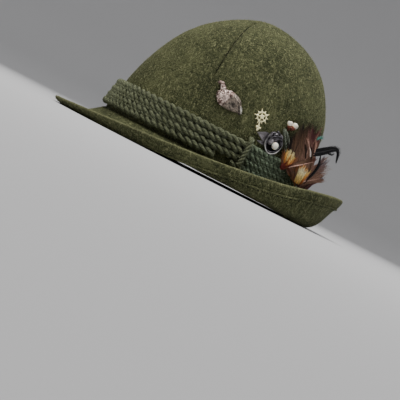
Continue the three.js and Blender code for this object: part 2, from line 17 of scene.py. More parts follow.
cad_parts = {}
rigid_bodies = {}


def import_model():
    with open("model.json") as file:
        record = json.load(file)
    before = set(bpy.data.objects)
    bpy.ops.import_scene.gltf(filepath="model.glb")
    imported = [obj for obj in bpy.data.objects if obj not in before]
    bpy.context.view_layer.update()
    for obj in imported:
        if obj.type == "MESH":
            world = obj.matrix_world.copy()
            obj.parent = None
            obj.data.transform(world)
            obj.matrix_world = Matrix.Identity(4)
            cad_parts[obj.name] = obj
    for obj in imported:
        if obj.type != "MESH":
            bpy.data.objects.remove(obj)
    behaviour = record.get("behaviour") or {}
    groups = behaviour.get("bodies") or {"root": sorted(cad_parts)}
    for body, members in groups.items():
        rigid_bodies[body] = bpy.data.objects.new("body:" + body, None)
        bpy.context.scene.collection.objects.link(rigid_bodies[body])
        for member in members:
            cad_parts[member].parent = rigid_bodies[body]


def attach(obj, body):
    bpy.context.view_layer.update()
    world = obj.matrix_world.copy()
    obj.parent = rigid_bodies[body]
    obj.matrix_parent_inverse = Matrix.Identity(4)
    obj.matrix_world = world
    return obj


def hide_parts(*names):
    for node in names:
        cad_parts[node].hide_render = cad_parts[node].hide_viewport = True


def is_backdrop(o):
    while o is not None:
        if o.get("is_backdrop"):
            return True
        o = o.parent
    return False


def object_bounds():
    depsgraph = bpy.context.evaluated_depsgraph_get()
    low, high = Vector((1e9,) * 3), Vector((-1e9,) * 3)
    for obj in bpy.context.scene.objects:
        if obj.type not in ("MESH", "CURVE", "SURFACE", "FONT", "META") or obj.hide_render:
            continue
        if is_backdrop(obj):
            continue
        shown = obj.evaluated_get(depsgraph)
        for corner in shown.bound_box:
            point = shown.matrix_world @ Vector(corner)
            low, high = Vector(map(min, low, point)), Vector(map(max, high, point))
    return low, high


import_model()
cad_box = [list(corner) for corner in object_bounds()]
print("CAD box:", [[round(v, 4) for v in corner] for corner in cad_box])

# %% [markdown]
# ## The photograph's camera
# The photograph looks level at the hat's left side with a long lens, and it was turned, so that the hat
# leans to the right in it. A low camera, just over the floor, comes closest without going under the floor.

# %% Camera
PHOTO_ROLL = math.radians(26.95)
PHOTO_DISTANCE = 1.2
PHOTO_WIDTH = 0.384
CAMERA_HEIGHT = 0.015
AIM = Vector((0.0232, 0, -0.0219))

camera_data = bpy.data.cameras.new("camera")
camera = bpy.data.objects.new("camera", camera_data)
bpy.context.collection.objects.link(camera)
bpy.context.scene.camera = camera
camera.location = (0.0235, -PHOTO_DISTANCE, CAMERA_HEIGHT)
ahead = (AIM - camera.location).normalized()
level_right = ahead.cross(Vector((0, 0, 1))).normalized()
level_up = level_right.cross(ahead)
up = level_up * math.cos(PHOTO_ROLL) - level_right * math.sin(PHOTO_ROLL)
right = ahead.cross(up)
camera.rotation_mode = "QUATERNION"
camera.rotation_quaternion = Matrix((right, up, -ahead)).transposed().to_quaternion()
camera_data.lens = camera_data.sensor_width / PHOTO_WIDTH * (AIM - camera.location).length
camera_data.clip_start = 0.002
camera_data.clip_end = 50
print("lens", round(camera_data.lens, 1), "mm")

# %% [markdown]
# ## The hat block
# A hatter shapes felt over a wooden block. This one is a table of ovals, from the opening to the top. It has
# the same numbers as the CAD crown, so that whatever is pinned or tied to the felt can be placed on it.

# %% Sizes and the table of ovals
MM = 0.001
OPENING_HEIGHT = 19
CROWN_LENGTH = 201.5
CROWN_WIDTH = 165
CROWN_HEIGHT = 139.5
CROWN_BACK = 3.25
CROWN_WALL = 2.2

CROWN_TABLE = {
    "rise": [0, 0.2, 0.33, 0.5, 0.65, 0.77, 0.86, 0.93, 0.98, 1],
    "front": [1, 0.94, 0.891, 0.799, 0.685, 0.545, 0.395, 0.232, 0.07, -0.057],
    "back": [1, 0.998, 0.982, 0.953, 0.872, 0.768, 0.645, 0.487, 0.288, 0.057],
    "side": [1, 0.985, 0.968, 0.93, 0.862, 0.758, 0.632, 0.475, 0.27, 0],
}
SEAM_TABLE = {
    "rise": [-0.1, 0.2, 0.45, 0.7, 0.88, 1, 1.1],
    "along": [-0.107, -0.104, -0.099, -0.088, -0.064, -0.012, 0.03],
}
LAST_ROW = len(CROWN_TABLE["rise"]) - 1


def smooth_row(table, column, position):
    """A table's column at a position, smooth between its rows."""
    values = table[column]
    last = len(values) - 1
    i = min(max(int(math.floor(position)), 0), last - 1)
    t = position - i
    before, a, b, after = values[max(i - 1, 0)], values[i], values[i + 1], values[min(i + 2, last)]
    start, end = (b - before) / 2, (after - a) / 2
    return (a * (2 * t**3 - 3 * t**2 + 1) + start * (t**3 - 2 * t**2 + t)
            + b * (3 * t**2 - 2 * t**3) + end * (t**3 - t**2))


def position_of(table, column, value):
    """Where a rising column reaches a value."""
    low, high = 0.0, len(table[column]) - 1.0
    for _ in range(30):
        middle = (low + high) / 2
        if smooth_row(table, column, middle) < value:
            low = middle
        else:
            high = middle
    return (low + high) / 2


def crown_point(position, turn):
    """A point on the outside of the crown, in millimetres. Turn 0 is the back and 90 degrees the left."""
    front = CROWN_LENGTH / 2 * smooth_row(CROWN_TABLE, "front", position)
    back = CROWN_LENGTH / 2 * smooth_row(CROWN_TABLE, "back", position)
    side = CROWN_WIDTH / 2 * smooth_row(CROWN_TABLE, "side", position)
    height = OPENING_HEIGHT + CROWN_HEIGHT * smooth_row(CROWN_TABLE, "rise", position)
    middle = CROWN_BACK + (back - front) / 2
    return Vector((middle + (back + front) / 2 * math.cos(turn), -side * math.sin(turn), height))


def crown_normal(position, turn):
    """The way that the felt faces there."""
    small = 0.01
    along = crown_point(position, turn + small) - crown_point(position, turn - small)
    upward = crown_point(position + small, turn) - crown_point(position - small, turn)
    return upward.cross(along).normalized()


def crown_position(height):
    return position_of(CROWN_TABLE, "rise", (height - OPENING_HEIGHT) / CROWN_HEIGHT)


def left_turn(height, along):
    """The direction of a place on the left side, from how far it lies behind the middle of the crown."""
    position = crown_position(height)
    front, back = (crown_point(position, turn).x for turn in (math.pi, 0))
    return math.acos(2 * (CROWN_BACK + CROWN_LENGTH * along - front) / (back - front) - 1)


def off_crown(height, turn, distance):
    position = crown_position(height)
    return crown_point(position, turn) + crown_normal(position, turn) * distance


def seam_x(height):
    """How far back the seam over the crown lies at a height."""
    position = position_of(SEAM_TABLE, "rise", (height - OPENING_HEIGHT) / CROWN_HEIGHT)
    return CROWN_BACK + CROWN_LENGTH * smooth_row(SEAM_TABLE, "along", position)


print("top of the block:", [round(v, 1) for v in crown_point(LAST_ROW, 0)])

# %% [markdown]
# ## A few hands for the work
# An operator works on whatever is selected, so each step starts by clearing the selection. A finished piece
# then gets its material and its body in one call, and the CAD nodes that it stands for are hidden.

# %% Helpers for selecting and finishing
def deselect():
    if bpy.context.object and bpy.context.object.mode != "OBJECT":
        bpy.ops.object.mode_set(mode="OBJECT")
    bpy.ops.object.select_all(action="DESELECT")


def activate(piece):
    deselect()
    piece.select_set(True)
    bpy.context.view_layer.objects.active = piece
    return piece


def edit(piece, mode="VERT", action="DESELECT"):
    """Opens a piece in edit mode, with nothing or all of it selected."""
    activate(piece)
    bpy.ops.object.mode_set(mode="EDIT")
    bpy.ops.mesh.select_mode(type=mode)
    bpy.ops.mesh.select_all(action=action)


def object_mode():
    bpy.ops.object.mode_set(mode="OBJECT")


def face_outward(piece, inside=False):
    """Turns every face of a closed piece outward, or inward."""
    edit(piece, action="SELECT")
    bpy.ops.mesh.normals_make_consistent(inside=inside)
    object_mode()


def apply_modifier(piece, kind, **settings):
    """Adds one modifier, sets it and applies it."""
    activate(piece)
    modifier = piece.modifiers.new(kind.lower(), kind)
    for name, value in settings.items():
        setattr(modifier, name, value)
    bpy.ops.object.modifier_apply(modifier=modifier.name)


def apply_place(piece):
    activate(piece)
    bpy.ops.object.transform_apply(location=True, rotation=True, scale=True)


def join(pieces, name):
    """One object from several."""
    deselect()
    for piece in pieces:
        piece.select_set(True)
    bpy.context.view_layer.objects.active = pieces[0]
    if len(pieces) > 1:
        bpy.ops.object.join()
    pieces[0].name = name
    pieces[0].data.name = name
    return pieces[0]


def smooth(piece, degrees=40):
    activate(piece)
    bpy.ops.object.shade_smooth_by_angle(angle=math.radians(degrees))


def mesh_piece(name, points, faces, uvs=None):
    """An object from points in millimetres and faces, with one UV pair for each corner."""
    mesh = bpy.data.meshes.new(name)
    mesh.from_pydata([tuple(p) for p in (np.asarray(points, dtype=float) * MM)], [], faces)
    if uvs is not None:
        layer = mesh.uv_layers.new(name="UVMap")
        layer.data.foreach_set("uv", np.asarray(uvs, dtype=float).ravel())
    piece = bpy.data.objects.new(name, mesh)
    bpy.context.collection.objects.link(piece)
    return piece


def finished(piece, name, material, slot, *nodes):
    """Names a finished piece, gives it its material, and fits it into the frame."""
    piece.name = name
    piece.data.name = name
    piece.data.materials.clear()
    piece.data.materials.append(material)
    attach(piece, "root")
    if nodes:
        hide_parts(*nodes)
    print(name, len(piece.data.polygons), "faces")
    return piece


# %% [markdown]
# ## Shader maths as plain expressions
# A material's pattern is a sum of a few noises and ramps. Written as nodes by hand it takes pages, so one
# small class wraps a socket, and an expression on it adds the Math nodes.

# %% The shader class
class Value:
    """A socket in a material that can be used in an expression."""

    def __init__(self, tree, socket):
        self.tree, self.socket = tree, socket

    def math(self, operation, other=0.5, swap=False):
        inputs = [other, self] if swap else [self, other]
        return self.tree.node("ShaderNodeMath", {"operation": operation}, *inputs)

    def __add__(self, other):
        return self.math("ADD", other)

    def __sub__(self, other):
        return self.math("SUBTRACT", other)

    def __mul__(self, other):
        return self.math("MULTIPLY", other)

    def __rsub__(self, other):
        return self.math("SUBTRACT", other, swap=True)

    __radd__, __rmul__ = __add__, __mul__


MIX_SHARE, MIX_FIRST, MIX_SECOND, MIX_COLOR = 0, 6, 7, 2


class Finish:
    """A material under construction."""

    def __init__(self, name, **constants):
        self.material = bpy.data.materials.new(name)
        self.material.use_nodes = True
        self.nodes = self.material.node_tree.nodes
        self.shader = self.nodes["Principled BSDF"]
        for socket, value in constants.items():
            self.shader.inputs[socket.replace("_", " ")].default_value = value

    def feed(self, socket, value):
        """Links a Value to a socket, or sets a constant on it."""
        if isinstance(value, Value):
            self.material.node_tree.links.new(value.socket, socket)
        else:
            socket.default_value = value

    def node(self, kind, settings=None, *inputs, output=0, **named):
        """Adds a node: its settings first, then the values or links of its sockets, in order or by name."""
        node = self.nodes.new(kind)
        for name, value in (settings or {}).items():
            setattr(node, name, value)
        pairs = [*enumerate(inputs), *((name.replace("_", " "), value) for name, value in named.items())]
        for key, value in pairs:
            if value is not None:
                self.feed(node.inputs[key], value)
        return Value(self, node.outputs[output])

    def place(self, kind="Object"):
        return self.node("ShaderNodeTexCoord", output=kind)

    def scaled(self, vector, scale, turn=(0, 0, 0)):
        return self.node("ShaderNodeMapping", None, vector, None, turn, scale)

    def split(self, vector):
        """The three parts of a vector."""
        parts = self.node("ShaderNodeSeparateXYZ", None, vector).socket.node.outputs
        return [Value(self, part) for part in parts]

    def noise(self, vector, scale, detail=3, roughness=0.55, distortion=0):
        return self.node("ShaderNodeTexNoise", None, Vector=vector, Scale=scale, Detail=detail,
                         Roughness=roughness, Distortion=distortion)

    def level(self, value, low, high, to_low=0.0, to_high=1.0):
        return self.node("ShaderNodeMapRange", {"interpolation_type": "SMOOTHSTEP"}, value, low, high,
                         to_low, to_high)

    def mix(self, share, first, second, blend="MIX"):
        node = self.nodes.new("ShaderNodeMix")
        node.data_type, node.blend_type = "RGBA", blend
        for key, value in ((MIX_SHARE, share), (MIX_FIRST, first), (MIX_SECOND, second)):
            self.feed(node.inputs[key], (*value, 1) if isinstance(value, tuple) else value)
        return Value(self, node.outputs[MIX_COLOR])

    def bump(self, height, distance):
        """Relief of a height from 0 to 1, with the distance in millimetres."""
        return self.node("ShaderNodeBump", None, Strength=1.0, Distance=distance * MM, Height=height)

    def to(self, **links):
        for name, value in links.items():
            self.feed(self.shader.inputs[name.replace("_", " ")], value)
        return self.material


def srgb(red, green, blue):
    """A colour as a paint chart gives it, from 0 to 255, in the linear values that the shader takes."""
    return tuple((v / 255 / 12.92) if v / 255 <= 0.04045 else ((v / 255 + 0.055) / 1.055) ** 2.4
                 for v in (red, green, blue))


# %% [markdown]
# ## Olive wool felt
# Felt has no weave. Its fibres lie in short curls in every direction, so light catches it in small soft
# flecks, and the dye varies a little from place to place. Three noises give that: wide clouds for the dye,
# a stretched and distorted one for the curls, and a fine one for single fibres.

# %% Felt material
def felt_material(name, light, dark, fiber, curl):
    felt = Finish(name, Roughness=0.95, Sheen_Weight=0.12, Sheen_Roughness=0.5, Specular_IOR_Level=0.15)
    felt.shader.inputs["Sheen Tint"].default_value = (*srgb(150, 150, 100), 1)
    place = felt.place()
    clouds = felt.noise(place, 30, 2)
    curls_a = felt.noise(felt.scaled(place, (500, 440, 230), (0.5, 0.3, 0)), 1, 3, 0.62, 1.4)
    curls_b = felt.noise(felt.scaled(place, (230, 440, 520), (0.2, 0.7, 0.4)), 1, 3, 0.62, 1.4)
    fibres = felt.noise(place, 1500, 2, 0.6)
    fleck = curls_a * 0.5 + curls_b * 0.5
    shade = felt.level(fleck * 0.8 + clouds * 0.2, 0.4, 0.62)
    color = felt.mix(shade, dark, light)
    bright = felt.level(curls_a, 0.56, 0.7) * felt.level(fibres, 0.35, 0.65, 0.3, 1)
    # The felt is painted paler along the brim's rim, partly as wear and partly as a painted highlight.
    rim_wear_and_highlight = felt.node("ShaderNodeVertexColor", {"layer_name": "rim_wear_and_highlight"})
    color = felt.mix(bright * 0.7 + rim_wear_and_highlight * 0.22, color, fiber)
    height = fleck * 0.8 + fibres * 0.2
    return felt.to(Base_Color=color, Normal=felt.bump(height, curl))


FELT = felt_material("felt", srgb(96, 99, 68), srgb(47, 51, 33), srgb(156, 156, 116), 3.0)
print("felt nodes:", len(FELT.node_tree.nodes))

# %% [markdown]
# ## The crown, blocked and seamed
# The crown is raised as a hatter pulls felt over the block. It starts as a circle at the opening, which is
# extruded upwards oval by oval and closed at the top. The points of each oval are slid along it, so that one
# line of them follows the seam. That line is sunk, because a sewn seam pulls the felt in, less so near the
# band, which presses it flat. There the crown is parted, and each half gets the felt's thickness. The felt
# runs on below the opening, as far as the brim's own edge, so that no light shows between the two.

# %% Crown from a circle
FRONT_SIDES = 50
BACK_SIDES = 66
CROWN_RINGS = 36
TUCK = 1.6
SEAM_HALF = 1.5
SEAM_DEPTH = 1.7
SEAM_PRESSED = 0.35
SEAM_FREE_BETWEEN = (78, 100)


def ring_size(position):
    """An oval's middle along the hat, its half length, half width and height."""
    back, front = crown_point(position, 0), crown_point(position, math.pi)
    return (back.x + front.x) / 2, (back.x - front.x) / 2, abs(crown_point(position, math.pi / 2).y), back.z


def raise_crown():
    deselect()
    middle, long, wide, height = ring_size(0)
    bpy.ops.mesh.primitive_circle_add(vertices=FRONT_SIDES + BACK_SIDES, radius=1,
                                      location=(middle * MM, 0, (height - TUCK) * MM))
    dome = bpy.context.object
    dome.scale = (long * MM, wide * MM, 1)
    apply_place(dome)
    edit(dome, action="SELECT")
    height -= TUCK
    for i in range(CROWN_RINGS):
        new_middle, new_long, new_wide, new_height = ring_size(LAST_ROW * (i / CROWN_RINGS))
        bpy.ops.mesh.extrude_edges_move(
            TRANSFORM_OT_translate={"value": ((new_middle - middle) * MM, 0, (new_height - height) * MM)})
        bpy.ops.transform.resize(value=(new_long / long, new_wide / wide, 1),
                                 center_override=(new_middle * MM, 0, new_height * MM))
        middle, long, wide, height = new_middle, new_long, new_wide, new_height
    bpy.ops.mesh.extrude_edges_move()
    bpy.ops.mesh.merge(type="CENTER")
    object_mode()
    top = max(dome.data.vertices, key=lambda v: v.co.z)
    top.co = crown_point(LAST_ROW, 0) * MM
    return dome


def seam_depth(position):
    """How far the seam is sunk: it is pressed flat near the band."""
    return float(np.interp(ring_size(position)[3], SEAM_FREE_BETWEEN, (SEAM_PRESSED, SEAM_DEPTH)))


def seam_turn(position):
    """The direction at which the seam crosses an oval, or straight ahead where it has passed over the top."""
    middle, long, _, height = ring_size(position)
    return math.acos(max(-1.0, min(1.0, (seam_x(height) - middle) / long)))


def spaced(count, first, last):
    """Shares from 0 up to 1, without the 1, evenly apart but with a narrow first or last step."""
    inner = np.linspace(first, 1 - last, count + 1 - (first > 0) - (last > 0))
    return [0.0] * (first > 0) + list(inner[:-1]) + [1 - last] * (last > 0)


def slide_to_seam(dome):
    """Slides each oval's points along it, so that one line of them follows the seam, and sinks that line."""
    passed = False
    half = FRONT_SIDES // 2
    for row in range(-1, CROWN_RINGS):
        position = LAST_ROW * max(row, 0) / CROWN_RINGS
        middle, long, wide, _ = ring_size(position)
        cross = seam_turn(position)
        size = (long + wide) / 2
        near_back = min(1 / BACK_SIDES, SEAM_HALF / (2 * cross * size))
        near_front = min(1 / half, SEAM_HALF / (max(math.pi - cross, 0.02) * size))
        turns = [-math.pi + (math.pi - cross) * s for s in spaced(half, 0, near_front)]
        turns += [-cross + 2 * cross * s for s in spaced(BACK_SIDES, near_back, near_back)]
        turns += [cross + (math.pi - cross) * s for s in spaced(half, near_front, 0)]
        sunk = {half, half + BACK_SIDES}
        if cross > math.pi - 1e-6:
            sunk = set() if passed else {*range(half + 1), *range(half + BACK_SIDES, len(turns))}
            passed = True
        ring = range((row + 1) * len(turns), (row + 2) * len(turns))
        points = sorted(ring, key=lambda v: math.atan2(-dome.data.vertices[v].co.y,
                                                       dome.data.vertices[v].co.x - middle * MM))
        for i, (v, turn) in enumerate(zip(points, turns)):
            place = crown_point(position, turn) - Vector((0, 0, TUCK if row < 0 else 0))
            if i in sunk:
                place -= crown_normal(max(position, 0.02), turn) * seam_depth(position)
            dome.data.vertices[v].co = place * MM


dome = raise_crown()
slide_to_seam(dome)
print("crown faces before the seam:", len(dome.data.polygons))

# %% Seam, wall and edges
def part_at_seam(dome):
    edit(dome, "FACE")
    object_mode()
    for polygon in dome.data.polygons:
        height = polygon.center.z / MM
        polygon.select = polygon.center.x / MM < seam_x(height)
    bpy.ops.object.mode_set(mode="EDIT")
    bpy.ops.mesh.separate(type="SELECTED")
    object_mode()
    front = next(o for o in bpy.context.selected_objects if o != dome)
    return front, dome


FELT_LUMPS = bpy.data.textures.new("felt lumps", "CLOUDS")
FELT_LUMPS.noise_scale = 0.03
FELT_LUMPS.noise_depth = 2


def felt_wall(panel):
    edit(panel, action="SELECT")
    bpy.ops.mesh.remove_doubles(threshold=0.00002)
    bpy.ops.mesh.normals_make_consistent(inside=False)
    object_mode()
    apply_modifier(panel, "SOLIDIFY", thickness=CROWN_WALL * MM, offset=-1)
    apply_modifier(panel, "DISPLACE", texture=FELT_LUMPS, texture_coords="LOCAL", strength=0.9 * MM,
                   mid_level=0.5)
    smooth(panel)
    return panel


front_panel, back_panel = part_at_seam(dome)
for panel, half in ((front_panel, "front"), (back_panel, "back")):
    finished(felt_wall(panel), f"felt_{half}", FELT, "felt", f"crown_{half}")

# %% [markdown]
# ## The brim, curled on its flange
# The brim's outline and its turned-up sides are already right in the CAD, so the work starts from a copy of
# it. The copy is welded and its triangles paired to quads, and two rounds of subdivision take the corners
# out. The hem stays as a raised band with a step at its inner edge, which is where its stitches lie.

# %% Brim from the CAD ring
def copy_node(name):
    """A welded copy of a CAD node's mesh, in the world's place."""
    node = bpy.data.objects[name]
    deselect()
    bpy.context.view_layer.update()
    mesh = node.data.copy()
    mesh.transform(node.matrix_world)
    piece = bpy.data.objects.new(name + " copy", mesh)
    bpy.context.collection.objects.link(piece)
    edit(piece, action="SELECT")
    bpy.ops.mesh.remove_doubles(threshold=0.00001)
    bpy.ops.mesh.customdata_custom_splitnormals_clear()
    return piece


BRIM_TABLE = {
    "turn": [0, 22, 40, 60, 90, 115, 140, 160, 180],
    "trough": [1, 0.73, 0.42, 0.31, 0.3, 0.39, 0.51, 0.65, 0.67],
    "lift": [0, 0.06, 0.4, 0.75, 1, 0.8, 0.4, 0.05, 0],
    "rise": [1, 0.985, 0.87, 0.645, 0.41, 0.29, 0.19, 0.145, 0.13],
    "bend": [0.3, 0.42, 0.66, 0.72, 0.66, 0.6, 0.5, 0.45, 0.45],
}
BRIM_LENGTH, BRIM_WIDTH, BRIM_WALL = 292, 237, 2.4
BACK_RISE, SIDE_LIFT, TURN_REACH = 39, 3.6, 24.5
TROUGH_SHIFT, SETTLED = 4, 0.35
LATE_BEND, LATE_RISE = 0.28, 0.34
INWARD = 10


def lengths(points, closed=False, tight=1.0):
    """How far along a path each of its points lies, and then the whole length."""
    ends = points[:1] if closed else points[-1:]
    steps = np.linalg.norm(np.diff(points, axis=0, append=ends), axis=1) * tight
    return np.concatenate([[0], np.cumsum(steps)])


def turn_up(turn):
    """The brim's turned-up part in one direction: 60 points from the trough to the rim, and the way out."""
    from_back = abs((math.degrees(turn) + 180) % 360 - 180)
    position = position_of(BRIM_TABLE, "turn", from_back)
    columns = ("trough", "lift", "rise", "bend")
    trough, lift, rise, bend = (smooth_row(BRIM_TABLE, column, position) for column in columns)
    cos, sin = math.cos(turn), math.sin(turn)
    long, wide = (CROWN_LENGTH - CROWN_WALL) / 2, (CROWN_WIDTH - CROWN_WALL) / 2
    opening = Vector((CROWN_BACK + long * cos, -wide * sin, 0))
    long, wide = (BRIM_LENGTH - BRIM_WALL) / 2, (BRIM_WIDTH - BRIM_WALL) / 2
    rim = Vector((long * cos, -wide * sin, BACK_RISE * rise))
    outward = (rim - opening)
    outward.z = 0
    outward.normalize()
    bottom = rim - outward * TURN_REACH * trough + outward * TROUGH_SHIFT * (1 - 0.7 * lift)
    bottom.z = BRIM_WALL / 2 - SETTLED + SIDE_LIFT * lift
    late = bend + LATE_BEND * (1 - bend)
    second = bottom.lerp(rim, bend)
    second.z = bottom.z
    third = bottom.lerp(rim, late)
    third.z = bottom.z + (rim.z - bottom.z) * LATE_RISE
    t = np.linspace(0, 1, 60)[:, None]
    line = ((1 - t) ** 3 * np.array(bottom) + 3 * (1 - t) ** 2 * t * np.array(second)
            + 3 * (1 - t) * t**2 * np.array(third) + t**3 * np.array(rim))
    return line, outward


def under_rim(turn, inside, depth, floor=1.0):
    """A point under the turned-up brim, some distance inside the rim and out of the felt's middle."""
    line, outward = turn_up(turn)
    line = np.vstack([line[:1] - INWARD * np.array(outward), line])[::-1]
    from_rim = lengths(line)[:-1]
    place = np.array([np.interp(inside, from_rim, line[:, k]) for k in range(3)])
    behind = np.array([np.interp(inside + 1, from_rim, line[:, k]) for k in range(3)])
    ahead = Vector(place - behind).normalized()
    down = Vector((outward.x * ahead.z, outward.y * ahead.z, -ahead.dot(outward))).normalized()
    place = Vector(place) + down * depth
    place.z = max(place.z, floor)
    return place, down


brim = copy_node("brim")
edit(brim, action="SELECT")
bpy.ops.mesh.tris_convert_to_quads(face_threshold=math.radians(60), shape_threshold=math.radians(60))
object_mode()
apply_modifier(brim, "SUBSURF", levels=2, render_levels=2)
apply_modifier(brim, "DISPLACE", texture=FELT_LUMPS, texture_coords="LOCAL", strength=0.7 * MM, mid_level=0.5)
smooth(brim, 50)

# %% [markdown]
# ## Twisted cord
# The band is four turns of wool cord, and each turn is two strands wound round each other. A modelled strand
# is a tube that is laid ring by ring along its own helix round the cord's path. That way it can swell and
# wander a little, as wool does, and its UV carries the length along it, which the yarn's lines follow.

# %% Paths of the cords
CORD_HEIGHTS = (22.55, 29.35, 36.15, 42.95)
CORD_OFF = 3.55


def unit(vectors):
    """Each row made one long."""
    return vectors / np.linalg.norm(vectors, axis=1)[:, None]


def square_to(vectors, along):
    """Each row turned square to the unit vector beside it, and made one long."""
    return unit(vectors - (vectors * along).sum(axis=1)[:, None] * along)


def slopes(points, closed=False):
    """The unit vectors along a path."""
    if closed:
        return unit(np.roll(points, -1, axis=0) - np.roll(points, 1, axis=0))
    return unit(np.gradient(points, axis=0))


def path_frames(points, out, closed=False):
    """Unit vectors along a path, outward from the hat and across, for every point of it."""
    points = np.array([list(p) for p in points], dtype=float)
    along = slopes(points, closed)
    out = square_to(np.array([list(o) for o in out], dtype=float), along)
    return points, along, out, np.cross(along, out)


def smooth_path(points, count):
    """A smooth path through a few points (Catmull-Rom), at even steps."""
    points = np.array([list(p) for p in points], dtype=float)
    padded = np.vstack([2 * points[0] - points[1], points, 2 * points[-1] - points[-2]])
    fine = []
    for i in range(len(points) - 1):
        a, b, c, d = padded[i:i + 4]
        for t in np.linspace(0, 1, 40, endpoint=False):
            fine.append(0.5 * (2 * b + (c - a) * t + (2 * a - 5 * b + 4 * c - d) * t**2
                               + (3 * b - a - 3 * c + d) * t**3))
    fine = np.vstack([fine, points[-1:]])
    length = lengths(fine)[:-1]
    even = np.linspace(0, length[-1], count)
    return np.stack([np.interp(even, length, fine[:, k]) for k in range(fine.shape[1])], axis=1)


# %% Tube and twist
def grid_faces(rows, columns, around=False, closed=False, first=0):
    """Quads on a grid of points, which may join up round each row and from the last row to the first."""
    faces = []
    for i in range(rows if closed else rows - 1):
        near, far = first + i * columns, first + (i + 1) % rows * columns
        for j in range(columns if around else columns - 1):
            k = (j + 1) % columns
            faces.append((near + j, near + k, far + k, far + j))
    return faces


def tube(name, frames, radius, sides=10, closed=False):
    """A tube round a path, with its length in the first UV and its turn in the second."""
    points, _, out, across = frames
    count = len(points)
    radii = np.broadcast_to(np.asarray(radius, dtype=float), (count,))
    length = lengths(points, closed)
    angles = [2 * math.pi * j / sides for j in range(sides)]
    verts = [points[i] + radii[i] * (math.cos(a) * out[i] + math.sin(a) * across[i])
             for i in range(count) for a in angles]
    faces = grid_faces(count, sides, around=True, closed=closed)
    uvs = []
    for i in range(len(faces) // sides):
        for j in range(sides):
            u0, u1, v0, v1 = length[i], length[i + 1], j / sides, (j + 1) / sides
            uvs += [(u0, v0), (u0, v1), (u1, v1), (u1, v0)]
    if not closed:
        for end, order in ((0, 1), (count - 1, -1)):
            faces.append([end * sides + j for j in range(sides)][::-order])
            uvs += [(length[end], 0)] * sides
    return mesh_piece(name, verts, faces, uvs)


def twisted(name, frames, strand, reach, lead, strands=3, closed=False, start=0.0, sides=10, tight=1.0):
    """Strands wound round one path. The lead is the length of one full turn where the twist isn't tighter."""
    points, _, out, across = frames
    length = lengths(points, closed, tight)
    total, length = length[-1], length[:-1]
    turns = total / lead
    if closed:
        turns = max(1, round(turns))

    def wave(size, every, shift=0.0):
        return size * np.sin(length * 2 * math.pi / total * round(total / every) + shift)

    wander = wave(0.3, 83, start) + wave(0.2, 31, 2 * start)
    swell = strand * (1 + wave(0.05, 19) + wave(0.04, 47))
    made = []
    for s in range(strands):
        angle = start + 2 * math.pi * s / strands + 2 * math.pi * turns * length / total + wander
        radial = np.cos(angle)[:, None] * out + np.sin(angle)[:, None] * across
        helix = path_frames(points + reach * radial, radial, closed)
        made.append(tube(f"{name} strand {s}", helix, swell, sides, closed))
    piece = join(made, name)
    face_outward(piece)
    smooth(piece, 60)
    return piece


def round_crown(height, distance, start=0.0, end=2 * math.pi, count=720):
    """A path round the crown, from one direction to another, with the outward direction at each point."""
    closed = abs(end - start - 2 * math.pi) < 1e-9
    position = crown_position(height)
    turns = np.linspace(start, end, count, endpoint=not closed)
    out = [crown_normal(position, t) for t in turns]
    points = [crown_point(position, t) + normal * distance for t, normal in zip(turns, out)]
    return path_frames(points, out, closed)


# %% [markdown]
# ## The hem
# The brim's edge is folded under and sewn down. The fold's inner edge stands out as a soft ridge, and the
# stitches lie in a shallow line beside it. One stitch is a short rounded thread, repeated all round.

# %% Hem ridge and stitches
HEM_WIDTH = 10.3
RIDGE_DEPTH, RIDGE_RADIUS = 2.2, 0.95
# Distances from the rim over which the pale band, partly wear and partly painted highlight, fades out.
RIM_PALE_FULL, RIM_PALE_GONE = 0.96, 2.56
hem_turns = np.linspace(0, 2 * math.pi, 360, endpoint=False)


def hem_path(turns, inside, depths, floor=1.0, closed=False):
    """Frames of a path under the turned-up brim."""
    places = [under_rim(turn, inside, depth, floor) for turn, depth in zip(turns, depths)]
    return path_frames(*zip(*places), closed=closed)


def paint_rim_wear_and_highlight(brim):
    """Marks how near each point lies to the rim, where the felt is painted pale, partly as wear and partly as
    a painted highlight along the rim.
    """
    rim_line = np.array([under_rim(turn, 0, 0)[0] for turn in hem_turns])
    rim_wear_and_highlight = brim.data.color_attributes.new("rim_wear_and_highlight", "FLOAT_COLOR", "POINT")
    for vertex in brim.data.vertices:
        apart = np.sqrt(((rim_line - np.array(vertex.co) / MM) ** 2).sum(axis=1).min())
        share = float(np.interp(apart, (RIM_PALE_FULL, RIM_PALE_GONE), (1, 0)))
        rim_wear_and_highlight.data[vertex.index].color = (share, share, share, 1)


ridge_path = hem_path(hem_turns, HEM_WIDTH, [RIDGE_DEPTH] * len(hem_turns), closed=True)
ridge = tube("hem ridge", ridge_path, RIDGE_RADIUS, 8, closed=True)
smooth(ridge, 60)
brim = join([brim, ridge], "felt_brim")
paint_rim_wear_and_highlight(brim)
finished(brim, "felt_brim", FELT, "felt", "brim")

STITCHES = 176
STITCH_INSIDE = HEM_WIDTH + 1.5
STITCH_STEP = 0.0042
STITCH_DEPTHS = (0.85, 1.1, 1.35, 1.1, 0.85)
STITCH_RADII = (0.2, 0.46, 0.52, 0.46, 0.2)
threads = []
for i in range(STITCHES):
    turns = [2 * math.pi * i / STITCHES + step * STITCH_STEP for step in range(-2, 3)]
    threads.append(tube(f"stitch {i}", hem_path(turns, STITCH_INSIDE, STITCH_DEPTHS, 0.6), STITCH_RADII, 6))
# The thread is near black, darker than the felt, so that the stitches also paint the shade under the hem's
# ridge.
THREAD_AND_SHADE = Finish("thread", Roughness=0.8, Base_Color=(*srgb(24, 26, 16), 1), Specular_IOR_Level=0.2)
finished(join(threads, "hem_stitches"), "hem_stitches", THREAD_AND_SHADE.material, "felt")

# %% [markdown]
# ## The seam's thread
# The two halves of the crown are sewn from inside, and a near-black thread lies down in the groove: partly
# the seam's thread, partly painted shade that darkens the groove. It ends where the seam is pressed flat
# above the band.

